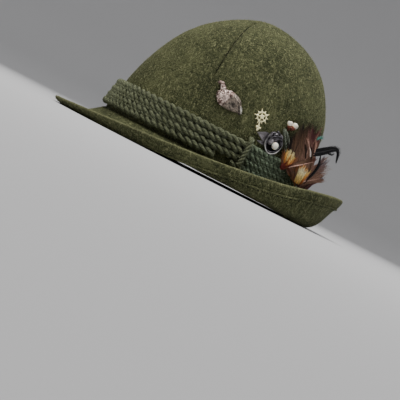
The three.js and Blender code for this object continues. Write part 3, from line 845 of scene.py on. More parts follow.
# %% Seam thread
THREAD_FROM = 91
THREAD_OUT = 0.25
THREAD_POINTS, THREAD_EVERY = 8, 9
THREAD_RADII = (0.2, 0.5, *[0.55] * 4, 0.5, 0.2)


def seam_place(position, side):
    turn = seam_turn(position) * side
    sunk = crown_normal(max(position, 0.02), turn) * (seam_depth(position) - THREAD_OUT)
    return crown_point(position, turn) - sunk


seam_rows = np.linspace(crown_position(THREAD_FROM), LAST_ROW - 0.05, 60)
seam_rows = [row for row in seam_rows if seam_turn(row) < math.pi - 0.01]
seam_line = [seam_place(row, 1) for row in seam_rows] + [seam_place(row, -1) for row in reversed(seam_rows)]
seam_line = smooth_path(seam_line, 900)
stitches = []
for i in range(0, len(seam_line) - THREAD_POINTS, THREAD_EVERY):
    part = seam_line[i:i + THREAD_POINTS]
    frames = path_frames(part, part - np.array((CROWN_BACK, 0, 60)))
    stitches.append(tube(f"seam stitch {i}", frames, THREAD_RADII, 6))
finished(join(stitches, "seam_stitches"), "seam_stitches", THREAD_AND_SHADE.material, "felt")

# %% [markdown]
# ## The cord's wool
# The yarn is greyer and bluer than the felt, and lighter where it stands out towards the light. Its fine
# lines run slantwise round each strand, so they come from a wave on the UV, and hairs of wool blur them.
# Where hands hold the hat, loose wool has matted in the grooves between the cords, and it is modelled as a
# thin twist that lies in each groove. Behind the knot the cords are twisted tighter.

# %% Cord material
def cord_material(name, light, dark, blue):
    cord = Finish(name, Roughness=0.95, Sheen_Weight=0.08, Specular_IOR_Level=0.12)
    place = cord.place()
    length, turn, _ = cord.split(cord.place("UV"))
    back, side, _ = cord.split(place)
    wobble = cord.noise(place, 500, 2) * 0.9
    slant = (length * 1.1 + turn * 3 + wobble).math("FRACT")
    ridge = 1 - (slant - 0.5).math("ABSOLUTE") * 2
    hairs = cord.noise(cord.scaled(place, (900, 900, 400)), 1, 3, 0.65)
    shade = cord.level(ridge * 0.45 + hairs * 0.7, 0.35, 0.85)
    behind = cord.level(back, 0.04, 0.047) * cord.level(side, -0.02, 0, 1, 0)
    color = cord.mix(shade, dark, cord.mix(behind, light, blue))
    color = cord.mix(cord.level(cord.noise(place, 60, 2), 0.35, 0.7, 0, 0.35), color, srgb(64, 68, 42))
    return cord.to(Base_Color=color, Normal=cord.bump(ridge * 0.6 + hairs * 0.6, 0.7))


CORD = cord_material("cord", srgb(134, 138, 106), srgb(56, 63, 48), srgb(144, 162, 136))
CORD_STRAND, CORD_REACH, CORD_LEAD = 1.85, 1.65, 14
OPEN_ALONG = (0.058, 0.136)
KNOT_X, TIGHTER = 41, 1.3
GROOVE_OUT, WOOL_REACH = CORD_OFF + 1.1, 0.75
WOOL_THIN, WOOL_THICK = 0.15, 1.1
MATTED = ((1.75, 2 * math.pi - 1.75, 9.5, 300), (0.3, 1.17, 7.3, 110))


def groove_wool(height, start, end, lead, count):
    """Loose wool that has matted in the groove below a cord, from one direction to another."""
    frames = round_crown(height, GROOVE_OUT, start, end, count)
    matted = np.sqrt(np.clip(1.6 * np.sin(np.linspace(0, math.pi, count)), 0, 1))
    radii = WOOL_THIN + (WOOL_THICK - WOOL_THIN) * matted
    return twisted(f"groove {height} {start}", frames, radii, WOOL_REACH, lead, 2, start=height, sides=8)


def band_cord(row, height):
    """One turn of the band. The lowest is open beside the knot, and the others have wool in their groove."""
    lowest = row == 1
    gap_end, gap_start = (left_turn(height, along) for along in OPEN_ALONG)
    frames = round_crown(height, CORD_OFF, *((gap_end, gap_start + 2 * math.pi) if lowest else ()))
    behind_knot = (frames[0][:, 0] > KNOT_X) & (frames[0][:, 1] < 0)
    cord = twisted(f"cord {row}", frames, CORD_STRAND, CORD_REACH, CORD_LEAD, 2, closed=not lowest,
                   start=row * 1.3, tight=np.where(behind_knot, TIGHTER, 1.0))
    if not lowest:
        groove = (height + CORD_HEIGHTS[row - 2]) / 2
        cord = join([cord, *(groove_wool(groove, *stretch) for stretch in MATTED)], f"cord {row}")
        smooth(cord, 60)
    return cord


for row, height in enumerate(CORD_HEIGHTS, 1):
    finished(band_cord(row, height), f"cord_{row}", CORD, "cord", f"cord_row_{row}")

# %% [markdown]
# ## The knot and the standing loop
# Where the four turns are tied together, one end passes over them and is tucked in again. It is laid from
# three strands. A thinner cord of two strands stands up behind the rosette as a narrow loop.

# %% Knot and loop
KNOT_ALONG = 0.174
KNOT_STRAND, KNOT_LEAD = 1.25, 13
KNOT_PLACES = [(50, 2.8), (48.2, 7.7), (43.3, 9.6), (29.2, 9.6), (23.8, 9.6)]
knot_turn = left_turn(46.5, KNOT_ALONG)
knot_path = smooth_path([off_crown(h, knot_turn, d) for h, d in KNOT_PLACES], 90)
knot_out = [crown_normal(crown_position(35), knot_turn)] * 90
knot = twisted("knot", path_frames(knot_path, knot_out), KNOT_STRAND, KNOT_STRAND, KNOT_LEAD, start=0.6)
finished(knot, "cord_knot_turn", CORD, "cord", "cord_knot")


LOOP_FOOT, LOOP_RISE, LOOP_HALF, LOOP_OUT = 48.6, 22.4, 2.3, 2.8
LOOP_STRAND, LOOP_REACH, LOOP_LEAD = 0.72, 0.66, 6


def loop_leg(share, side):
    """A point of the loop, from its share of the rise and the side of the loop's middle that it lies on."""
    height = LOOP_FOOT + LOOP_RISE * share
    turn = left_turn(height, 0.35 - 0.06 * share**1.5)
    return off_crown(height, turn - side * LOOP_HALF / (CROWN_LENGTH / 2), LOOP_OUT)


LOOP_LEGS = [(0, 1), (0.3, 1), (0.62, 1), (0.9, 0.85), (1, 0), (0.9, -0.85), (0.62, -1), (0.3, -1), (0, -1)]
loop_path = smooth_path([loop_leg(*leg) for leg in LOOP_LEGS], 220)
loop_out = [crown_normal(crown_position(60), left_turn(60, 0.33))] * 220
loop = twisted("loop", path_frames(loop_path, loop_out), LOOP_STRAND, LOOP_REACH, LOOP_LEAD, 2)
# The loop's cord is painted lighter than the band's, to offset the shade that the rosette and the tuft cast
# on it.
LIGHTENED_LOOP_CORD = cord_material("lightened loop cord", srgb(160, 168, 148), srgb(78, 84, 68), srgb(178, 188, 168))
finished(loop, "cord_standing_loop", LIGHTENED_LOOP_CORD, "cord", "cord_loop")

# %% [markdown]
# ## Placing the pins
# A pin is modelled flat, with its back at zero, and then set against the felt where its CAD part sits.
# Its colours come from a tint that is painted on the vertices by place.

# %% Seats and tints
def seat(piece, height, along, distance):
    """Puts a flat piece, in millimetres, against the crown's left side and applies its place."""
    turn = left_turn(height, along)
    position = crown_position(height)
    normal = crown_normal(position, turn)
    side = Vector((0, 0, 1)).cross(normal).normalized()
    up = normal.cross(side)
    turn_in = Matrix((side, up, normal)).transposed().to_4x4()
    place = (crown_point(position, turn) + normal * distance) * MM
    piece.data.transform(Matrix.Translation(place) @ turn_in @ Matrix.Scale(MM, 4))
    return piece


def tint(piece, color_at):
    """Paints each vertex with the colour that a function gives for its place."""
    layer = piece.data.color_attributes.new("tint", "FLOAT_COLOR", "POINT")
    for vertex in piece.data.vertices:
        layer.data[vertex.index].color = (*color_at(vertex.co), 1)
    return piece


def lump(middle, size, turn=0.0, detail=24):
    """A rounded lump from a sphere, squeezed and turned."""
    deselect()
    bpy.ops.mesh.primitive_uv_sphere_add(segments=detail, ring_count=detail // 2, radius=1, location=middle,
                                         rotation=(0, 0, turn))
    bpy.context.object.scale = size
    apply_place(bpy.context.object)
    return bpy.context.object


def rod(start, end, radius, tip=None, sides=12):
    """A straight rod or spike between two points."""
    start, end = Vector(start), Vector(end)
    deselect()
    bpy.ops.mesh.primitive_cone_add(vertices=sides, radius1=radius, radius2=radius if tip is None else tip,
                                    depth=(end - start).length, location=(start + end) / 2)
    stick = bpy.context.object
    stick.rotation_mode = "QUATERNION"
    stick.rotation_quaternion = (end - start).to_track_quat("Z", "Y")
    apply_place(stick)
    return stick


# %% Casting
def fuse(pieces, name, grain):
    """Casts several lumps into one soft skin with a grain in millimetres, cut flat at the back."""
    cast = join(pieces, name)
    apply_modifier(cast, "REMESH", mode="VOXEL", voxel_size=grain, use_smooth_shade=True)
    edit(cast, action="SELECT")
    bpy.ops.mesh.bisect(plane_co=(0, 0, 0), plane_no=(0, 0, 1), clear_inner=True, use_fill=True)
    object_mode()
    apply_modifier(cast, "SMOOTH", factor=0.5, iterations=1)
    smooth(cast, 60)
    return cast


# %% [markdown]
# ## Cast metal, worn edges and painted light
# The pins are small castings. Dirt stays in their hollows and the raised parts are rubbed bright, so the
# metals' colour follows the tint, and a fine noise adds pits and tarnish. The tint also holds painted light:
# a highlight on the rosette's rim and shade under the bird's wing.

# %% Metal, ivory and feather materials
def tinted_material(name, grain, depth, dirt, **constants):
    finish = Finish(name, **constants)
    place = finish.place()
    paint = finish.node("ShaderNodeVertexColor", {"layer_name": "tint"})
    pits = finish.noise(place, grain, 4, 0.6)
    dark = finish.mix(1.0, paint, (dirt, dirt, dirt), "MULTIPLY")
    color = finish.mix(finish.level(pits, 0.35, 0.6), dark, paint)
    return finish.to(Base_Color=color, Normal=finish.bump(pits, depth))


PEWTER = tinted_material("pewter", 520, 0.6, 0.2, Metallic=0.5, Roughness=0.45)
GILT = tinted_material("gilt", 700, 0.1, 0.92, Metallic=0.05, Roughness=0.35, Coat_Weight=0.3)
DARK_METAL = tinted_material("dark metal", 700, 0.2, 0.6, Metallic=0.45, Roughness=0.33)
IVORY = tinted_material("ivory", 350, 0.05, 0.95, Roughness=0.3, Coat_Weight=0.3, Subsurface_Weight=0.15,
                        Subsurface_Radius=(0.002, 0.001, 0.0006))
VANE = tinted_material("feather", 1200, 0.05, 0.6, Roughness=0.65, Specular_IOR_Level=0.3)
BLACK_VANE = tinted_material("black feather", 1200, 0.05, 0.6, Roughness=0.5, Specular_IOR_Level=0.25)
print("materials:", len(bpy.data.materials))

# %% [markdown]
# ## The bird
# The bird is one casting, seen from its left, with its head up to the front, a speckled breast, a smooth
# folded wing and a short tail whose edge is bright. It is built from lumps that are fused to one skin.

# %% The bird's lumps
BIRD = 31
BIRD_RELIEF = 5.2
BIRD_SEAT = (74, 0.009, 0.6)
BIRD_TABLE = [
    (-0.01, -0.1, 0.4, 0.225, 0.72, -0.3), (-0.16, -0.07, 0.195, 0.25, 0.78, 0.2),
    (0.12, -0.26, 0.34, 0.085, 0.4, 0.02), (-0.26, 0.15, 0.09, 0.165, 0.6, 0.72),
    (-0.385, 0.275, 0.11, 0.072, 0.58, 0.05), (0.13, 0.03, 0.3, 0.14, 1.0, -0.36),
    (0.42, -0.18, 0.165, 0.085, 0.45, -1.09),
]
TAIL_EDGE = (0.4, -0.04)
TAIL_SIDE = (0.888, 0.46)
SPECKLES, WING_FEATHERS, TAIL_FEATHERS = 150, 5, 4
BIRD_COLORS = {
    "speckle": srgb(240, 216, 204), "hollow": srgb(124, 98, 90), "head": srgb(176, 148, 138),
    "wing": srgb(158, 144, 130), "edge": srgb(226, 222, 210),
}


def bird_height(x, y):
    """The height of the plain lumps at a place of the bird, in millimetres."""
    heights = [0]
    for middle_x, middle_y, long, high, deep, turn in BIRD_TABLE:
        u = (x - middle_x) * math.cos(turn) + (y - middle_y) * math.sin(turn)
        v = (y - middle_y) * math.cos(turn) - (x - middle_x) * math.sin(turn)
        inside = 1 - (u / long) ** 2 - (v / high) ** 2
        heights.append(deep * BIRD_RELIEF * math.sqrt(inside) if inside > 0 else 0)
    return max(heights)


def on_bird(x, y, height):
    """A place from shares of the bird's length and a height in millimetres."""
    return (x * BIRD, y * BIRD, height)


def breast_speckles():
    """Small grains on the breast, as many as happen to fall on it."""
    chance = random.Random(3)
    for _ in range(SPECKLES):
        x, y = chance.uniform(-0.36, 0), chance.uniform(-0.32, 0.24)
        height = bird_height(x, y)
        if height > 1 and x < 0.02 + 0.3 * y:
            yield lump(on_bird(x, y, height), (0.7, 0.5, 0.6), chance.uniform(0, 3), 8)


# %% Bird pin
def bird_pin():
    """The casting: lumps, a beak, speckles, and the feathers of the wing and tail."""
    parts = [lump(on_bird(x, y, 0), on_bird(long, high, deep * BIRD_RELIEF), turn, 32)
             for x, y, long, high, deep, turn in BIRD_TABLE]
    parts.append(rod(on_bird(-0.43, 0.27, 1), on_bird(-0.53, 0.25, 1), 1.1, 0.1))
    parts += breast_speckles()
    for i in range(WING_FEATHERS):
        start, end = (-0.06 + 0.02 * i, 0.1 - 0.045 * i), (0.4 - 0.035 * i, -0.04 - 0.05 * i)
        middle = on_bird((start[0] + end[0]) / 2, (start[1] + end[1]) / 2, 5.1 - 0.55 * i - 1.3)
        parts.append(lump(middle, on_bird(0.24, 0.03, 1.5), -0.34, 16))
    for i in range(TAIL_FEATHERS):
        start, end = on_bird(0.3, -0.1 - 0.045 * i, 1.9), on_bird(0.46, -0.2 - 0.03 * i, 1.2)
        parts.append(rod(start, end, 0.55, 0.35))
    cast = fuse(parts, "bird", 0.34)
    tint(cast, bird_color)
    return seat(cast, *BIRD_SEAT)


def bird_color(co):
    """Bright speckles on the breast, a plain wing with painted shade under it, and a bright edge on the tail.
    """
    x, y = co.x / BIRD, co.y / BIRD
    speckle, hollow, head, wing, bright = (np.array(color) for color in BIRD_COLORS.values())
    edge = (x - TAIL_EDGE[0]) * TAIL_SIDE[0] + (y - TAIL_EDGE[1]) * TAIL_SIDE[1]
    if edge > -0.02 and y < -0.1:
        return bright
    raised = np.clip((co.z - bird_height(x, y)) / 0.25, 0, 1)
    on_wing = np.clip((x - 0.1 - 0.35 * y + 0.08) / 0.06, 0, 1)
    breast = head if y > 0.23 else raised * speckle + (1 - raised) * hollow
    # Painted shade under the wing, and the cast is painted darker towards its base.
    wing_shade = math.exp(-(((x - 0.19) / 0.09) ** 2 + ((y + 0.15) / 0.06) ** 2))
    base = (1 - on_wing) * breast + on_wing * wing
    base = base * (1 - 0.85 * wing_shade) * (0.7 + 0.3 * min(1, co.z / 2.5))
    return base * (0.4 if edge > -0.09 and x > 0.3 and y < -0.1 else 1)


finished(bird_pin(), "cast_bird", PEWTER, "pewter", "bird_pin")

# %% [markdown]
# ## The flower
# The flower is a thin gilt star of ten rays. Its heart is a ring on short spokes, with a raised middle, and
# a stem leads down to a small blossom of three round petals.

# %% Flower pin
FLOWER = 7.0
DROP = -FLOWER * 1.52
FLOWER_SEAT = (72, 0.175, 0.6)


def around(count, start=0.0):
    """Directions evenly round a circle, with their cosines and sines."""
    return [(a, math.cos(a), math.sin(a)) for a in (2 * math.pi * i / count + start for i in range(count))]


def flower_ray(i, cos, sin):
    """A spoke and the pointed ray beyond it. Every other ray is longer."""
    side = Vector((cos, sin, 0))
    inside, reach = (0.15, FLOWER * 1.1) if i % 2 else (0.5, FLOWER * 0.96)
    high, low = Vector((0, 0, 0.8)), Vector((0, 0, 0.6))
    spoke = rod(side * FLOWER * inside + high, side * FLOWER * 0.6 + high, 0.55)
    return spoke, rod(side * FLOWER * 0.55 + high, side * reach + low, 1.0, 0.12)


def flower_pin():
    parts = [part for i, (_, cos, sin) in enumerate(around(10, 0.1)) for part in flower_ray(i, cos, sin)]
    deselect()
    bpy.ops.mesh.primitive_torus_add(major_radius=FLOWER * 0.6, minor_radius=0.66, major_segments=40,
                                     minor_segments=10, location=(0, 0, 0.7))
    parts.append(bpy.context.object)
    parts.append(lump((0, 0, 1.0), (2.1, 2.1, 1.3)))
    parts += [lump((1.3 * cos, 1.3 * sin, 1.7), (0.6, 0.6, 0.8), 0, 10) for _, cos, sin in around(6)]
    parts.append(rod((0.1, -FLOWER * 0.6, 0.6), (0.9, DROP + 1, 0.6), 0.8))
    parts.append(rod((0.4, -FLOWER * 0.95, 0.6), (2.2, -FLOWER * 1.2, 0.6), 0.5, 0.2))
    parts += [lump((1.3 + 1.5 * cos, DROP + 1.4 * sin, 0.4), (1.5, 1.2, 1.1), angle)
              for angle, cos, sin in around(3, -math.pi / 2)]
    cast = fuse(parts, "flower", 0.2)
    tint(cast, lambda co: srgb(255, 247, 196) if co.z > 0.7 else srgb(228, 198, 120))
    return seat(cast, *FLOWER_SEAT)


finished(flower_pin(), "gilt_flower", GILT, "gilt", "edelweiss_pin")

# %% [markdown]
# ## Two teeth in a small setting
# Hunters wear such teeth as a pin. Each tooth is a turned profile: a broad polished crown, and a narrower
# root that is stained red-brown and stands in the setting.

# %% Teeth and setting
TOOTH = 7.6
TOOTH_FLAT = 0.75
TEETH_SEAT = (77.3, 0.308, 0.3)


def turned(name, profile, sides=28):
    """A profile of (radius, height) pairs spun round its axis, with both poles closed."""
    piece = mesh_piece(name, [(r / MM, 0, y / MM) for r, y in profile], [])
    mesh = piece.data
    mesh.edges.add(len(profile) - 1)
    for i in range(len(profile) - 1):
        mesh.edges[i].vertices = (i, i + 1)
    edit(piece, action="SELECT")
    bpy.ops.mesh.spin(steps=sides, angle=2 * math.pi, center=(0, 0, 0), axis=(0, 0, 1))
    bpy.ops.mesh.select_all(action="SELECT")
    bpy.ops.mesh.remove_doubles(threshold=0.001)
    bpy.ops.mesh.normals_make_consistent(inside=False)
    object_mode()
    return piece


TOOTH_PROFILE = [(0, -0.5), (0.12, -0.47), (0.2, -0.4), (0.27, -0.22), (0.35, -0.04), (0.4, 0.1),
                 (0.41, 0.24), (0.38, 0.37), (0.28, 0.455), (0.13, 0.47), (0, 0.46)]


def tooth_color(co):
    """Red-brown at the root, a stained neck and a polished crown."""
    share = co.z / TOOTH
    if share < -0.2:
        return srgb(120, 52, 30)
    return srgb(188, 128, 92) if share < -0.09 else srgb(255, 248, 226)


def tooth(name, x, scale, lean):
    piece = turned(name, [(r * TOOTH, y * TOOTH) for r, y in TOOTH_PROFILE])
    apply_modifier(piece, "SUBSURF", levels=1, render_levels=1)
    smooth(piece, 60)
    tint(piece, tooth_color)
    height = TOOTH * 0.16 + 0.3 + TOOTH * 0.37 * TOOTH_FLAT * scale
    piece.data.transform(Matrix.Translation((x * TOOTH, 0, height)) @ Matrix.Rotation(lean, 4, "Z")
                         @ Matrix.Scale(TOOTH_FLAT, 4, (0, 0, 1)) @ Matrix.Scale(scale, 4)
                         @ Matrix.Rotation(-math.pi / 2, 4, "X"))
    face_outward(piece)
    return seat(piece, *TEETH_SEAT)


finished(tooth("small tooth", -0.4, 0.9, 0.25), "ivory_tooth_small", IVORY, "ivory", "tooth_small")
finished(tooth("large tooth", 0.33, 1, -0.35), "ivory_tooth_large", IVORY, "ivory", "tooth_large")


def tooth_setting():
    leaves = [lump((0.76 + 1.9 * cos, -2.4 + 1.3 * sin, 0.2), (1.7, 0.9, 0.9), angle)
              for angle, cos, sin in around(5, -0.6)]
    cast = fuse(leaves, "setting", 0.22)
    tint(cast, lambda co: srgb(110, 60, 44))
    return seat(cast, *TEETH_SEAT)


finished(tooth_setting(), "teeth_leaf_setting", DARK_METAL, "setting", "teeth_setting")

# %% [markdown]
# ## The metal rose
# The rosette is sheet metal rolled into a rose. A cup carries a rolled rim, and more sheets stand round and
# inside it. Small petals fill the upper side, a dome and a bead lie inside, and two leaves are soldered to
# the front side. A sheet is a strip of points that gets a thickness, with a thin tube along its edge.

# %% Sheets of the rosette
ROSE = 9.3
ROSE_SEAT = (55.2, 0.264, 0.3)
SHEET_ROWS = 7


def ribbon(name, path, low, high, thick, roll):
    """A standing sheet that follows a flat path, and the roll along its upper edge."""
    tops = np.broadcast_to(high, (len(path),))
    shares = np.linspace(0, 1, SHEET_ROWS)
    verts = [(x, y, low + (top - low) * share) for (x, y), top in zip(path, tops) for share in shares]
    sheet = mesh_piece(name, np.array(verts) / MM, grid_faces(len(path), SHEET_ROWS))
    apply_modifier(sheet, "SOLIDIFY", thickness=thick, offset=0)
    edge_line = [(x, y, top) for (x, y), top in zip(path, tops)]
    edge = tube(name + " roll", path_frames(edge_line, [(0, 0, 1)] * len(path)), roll, 8)
    edge.data.transform(Matrix.Scale(1 / MM, 4))
    return sheet, edge


def painted(piece, red, green, blue):
    return tint(piece, lambda co: srgb(red, green, blue))


def arc(start, end, outer, inner=None, count=50, waves=0.0):
    """Points on an arc of the rose, whose reach may change from the start to the end."""
    angles = np.linspace(start, end, count)
    reaches = np.linspace(outer, outer if inner is None else inner, count) + waves * np.sin(3 * angles + 1)
    return angles, [(ROSE * r * math.cos(a), ROSE * r * math.sin(a)) for a, r in zip(angles, reaches)]


def rim_highlight_color(co):
    """The rim is painted with a highlight along its lower side, and darker above."""
    low = max(0.0, -co.y / math.hypot(co.x, co.y)) ** 0.7
    return (0.22 + 0.78 * low) * np.array(srgb(236, 234, 230))


CUP_PROFILE = [(0, 0), (0.48, 0), (0.7, 0.2), (0.86, 0.46), (0.92, 0.6), (0.86, 0.62), (0.74, 0.4),
               (0.5, 0.24), (0, 0.2)]
ROSE_FOLDS = [(-2.1, 1.5, 0.78, 0.72, 0.3, 0.6), (0.9, 3.4, 0.7, 0.62, 0.3, 0.76),
              (0.5, 2.3, 0.5, 0.46, 0.26, 0.7), (2.6, 4.3, 0.76, 0.8, 0.3, 0.6)]
ROSE_PETALS = [(0.4, 0.86, 0.24, -0.3, 100), (0.75, 0.8, 0.28, 0.5, 60), (1.0, 0.97, 0.26, -0.2, 124),
               (1.3, 0.8, 0.28, 0.4, 84), (1.5, 1.0, 0.3, -0.4, 58), (1.8, 0.84, 0.26, 0.3, 130),
               (2.1, 0.98, 0.28, -0.1, 72), (2.45, 0.86, 0.27, 0.5, 112), (2.8, 0.92, 0.2, -0.4, 60),
               (1.15, 0.62, 0.2, 0.6, 110), (1.75, 0.6, 0.2, -0.5, 70)]
ROSE_LEAVES = [(-0.7, 0.24, 1.28, 0.98, -0.03, 140), (-0.76, -0.4, 0.9, 0.32, 0.05, 128)]
LEAF_OUTLINE = [(0, -0.5), (-0.3, -0.46), (-0.6, -0.27), (-1, 0), (-0.6, 0.27), (-0.3, 0.46), (0, 0.5)]


def rose_sheets():
    """The cup, its rim and the folds round and inside it."""
    cup = turned("cup", [(r * ROSE, z * ROSE) for r, z in CUP_PROFILE], 40)
    angles, rim = arc(0, 2 * math.pi, 0.93, count=80, waves=0.025)
    heights = [ROSE * (0.63 + 0.05 * math.sin(5 * a)) for a in angles]
    sheet, edge = ribbon("rim", rim, 0.4 * ROSE, heights, 0.5, 0.52)
    parts = [painted(cup, 40, 36, 40), painted(sheet, 66, 63, 68), tint(edge, rim_highlight_color)]
    _, outer_fold = arc(-1.0, 1.0, 0.98, 1.02)
    sheet, edge = ribbon("outer fold", outer_fold, 0.3 * ROSE, 0.5 * ROSE, 0.4, 0.38)
    parts += [painted(sheet, 60, 58, 62), painted(edge, 128, 126, 130)]
    for start, end, outer, inner, low, high in ROSE_FOLDS:
        _, fold = arc(start, end, outer, inner)
        swell = np.sin(np.linspace(0, math.pi, len(fold))) ** 0.5
        sheet, edge = ribbon("fold", fold, low * ROSE, ROSE * (low + (high - low) * swell), 0.4, 0.4)
        parts += [painted(sheet, 48, 45, 50), painted(edge, 112, 108, 114)]
    return parts


# %% Petals and leaves
def rose_petal(angle, reach, size, turn, grey):
    petal = lump((0, 0, 0), (size * ROSE * 1.1, size * ROSE * 0.42, size * ROSE * 0.8), 0, 16)
    place = Matrix.Translation((reach * ROSE * math.cos(angle), reach * ROSE * math.sin(angle), 0.58 * ROSE))
    petal.data.transform(place @ Matrix.Rotation(angle + math.pi / 2 + turn, 4, "Z"))
    return painted(petal, grey, grey - 4, grey + 2)


def rose_leaf(x, y, length, width, turn, grey):
    """A flat outline that is cut finer, curved and made thick."""
    length, width = length * ROSE, width * ROSE
    outline = [(px * length / MM, py * width / MM, 0) for px, py in LEAF_OUTLINE]
    leaf = mesh_piece("leaf", outline, [tuple(range(len(outline)))])
    edit(leaf, "FACE", "SELECT")
    bpy.ops.mesh.poke()
    bpy.ops.mesh.subdivide(number_cuts=3)
    object_mode()
    for vertex in leaf.data.vertices:
        vertex.co.z = abs(vertex.co.y) / width + 0.9 * (vertex.co.x / length) ** 2 - 0.2
    apply_modifier(leaf, "SOLIDIFY", thickness=0.7, offset=1)
    place = Matrix.Translation((x * ROSE, y * ROSE, 0.3 * ROSE))
    leaf.data.transform(place @ Matrix.Rotation(turn, 4, "Z"))
    return painted(leaf, grey, grey - 5, grey - 2)


# %% Rosette and bead
def rosette():
    dome = lump((-0.27 * ROSE, 0.1 * ROSE, 0.4 * ROSE), (0.37 * ROSE, 0.35 * ROSE, 0.32 * ROSE))
    knob = lump((0.14 * ROSE, 0.34 * ROSE, 0.4 * ROSE), (1.5, 1.4, 1.6))
    parts = rose_sheets() + [painted(dome, 156, 150, 153), painted(knob, 150, 142, 146)]
    rose = join(parts + [rose_petal(*petal) for petal in ROSE_PETALS], "rose")
    rose.data.transform(Matrix.Scale(1.1, 4, (0, 1, 0)))
    rose = join([rose] + [rose_leaf(*leaf) for leaf in ROSE_LEAVES], "rose")
    face_outward(rose)
    smooth(rose, 40)
    return seat(rose, *ROSE_SEAT)


finished(rosette(), "metal_rose", DARK_METAL, "dark_metal", "rosette")

BEAD = 7.0
bead_size = (BEAD * 0.46, BEAD * 0.5, BEAD * 0.4)
bead = lump((0.24 * ROSE, -0.15 * ROSE, 0.3 * ROSE + 0.5 + bead_size[2]), bead_size)
smooth(bead, 60)
painted(bead, 248, 244, 228)
finished(seat(bead, *ROSE_SEAT), "ivory_bead", IVORY, "ivory", "rosette_bead")

# %% [markdown]
# ## Feathers
# A feather is a quill with barbs, and its edge is ragged because each barb ends on its own. Each barb here
# is a thin tapered blade. It leaves the quill at an angle and bends towards the tip, and the tint changes
# from the foot to the tip.

# %% A feather's place and shape
TUFT_ORIGIN = off_crown(40.1, left_turn(40.1, 0.356), 7.95)
TUFT_TURN = math.radians(34)
FULL = (0.35, 0.85, 1.0, 0.95, 0.6, 0.15)
PATH_POINTS = 80
BARB_ROWS = 5
VANE_EVERY = 4
BOW = 1.2
QUILL_ROWS, QUILL_SIDES = 24, 8


def tuft_place(name, verts, faces, colors):
    """A piece from points in the tuft's own plane: across to the back, outward, and up, in millimetres."""
    verts = np.array(verts, dtype=float)
    cos, sin = math.cos(TUFT_TURN), math.sin(TUFT_TURN)
    x, out, up = verts[:, 0], verts[:, 1], verts[:, 2]
    world = np.stack([cos * x + sin * out, sin * x - cos * out, up], axis=1) + np.array(TUFT_ORIGIN)
    piece = mesh_piece(name, world, faces)
    layer = piece.data.color_attributes.new("tint", "FLOAT_COLOR", "POINT")
    layer.data.foreach_set("color", np.hstack([np.array(colors), np.ones((len(colors), 1))]).ravel())
    return piece


def blend(stops, t):
    """A colour between stops of (place, colour)."""
    places = [p for p, _ in stops]
    return np.array([np.interp(t, places, [c[k] for _, c in stops]) for k in range(3)])


def half_width(width, profile, t):
    """Half of a feather's width at a share of its length."""
    return width / 2 * np.interp(t, np.linspace(0, 1, len(profile)), profile)


def bowed(t):
    """How far a feather stands off at a share of its length, as it bows outward in its middle."""
    return BOW * math.sin(math.pi * min(1, t + 0.1))


# %% Quill
def quill_of(points, layer, radius, color):
    """A tapered round quill that lies on its feather."""
    shares = np.linspace(0, 1, QUILL_ROWS)
    line = smooth_path([(x, 0, z) for x, z in points], QUILL_ROWS)
    line[:, 1] += [layer + bowed(t) + 0.25 for t in shares]
    along = slopes(line)
    first = unit(np.cross(along, (0, 1, 0)))
    second = np.cross(along, first)
    radii = radius * (1 - 0.75 * shares)
    angles = np.linspace(0, 2 * math.pi, QUILL_SIDES, endpoint=False)
    verts = [line[i] + radii[i] * (math.cos(a) * first[i] + math.sin(a) * second[i])
             for i in range(QUILL_ROWS) for a in angles]
    ends = [tuple(reversed(range(QUILL_SIDES))), tuple(range(len(verts) - QUILL_SIDES, len(verts)))]
    faces = grid_faces(QUILL_ROWS, QUILL_SIDES, around=True) + ends
    return tuft_place("quill", verts, faces, [color] * len(verts))


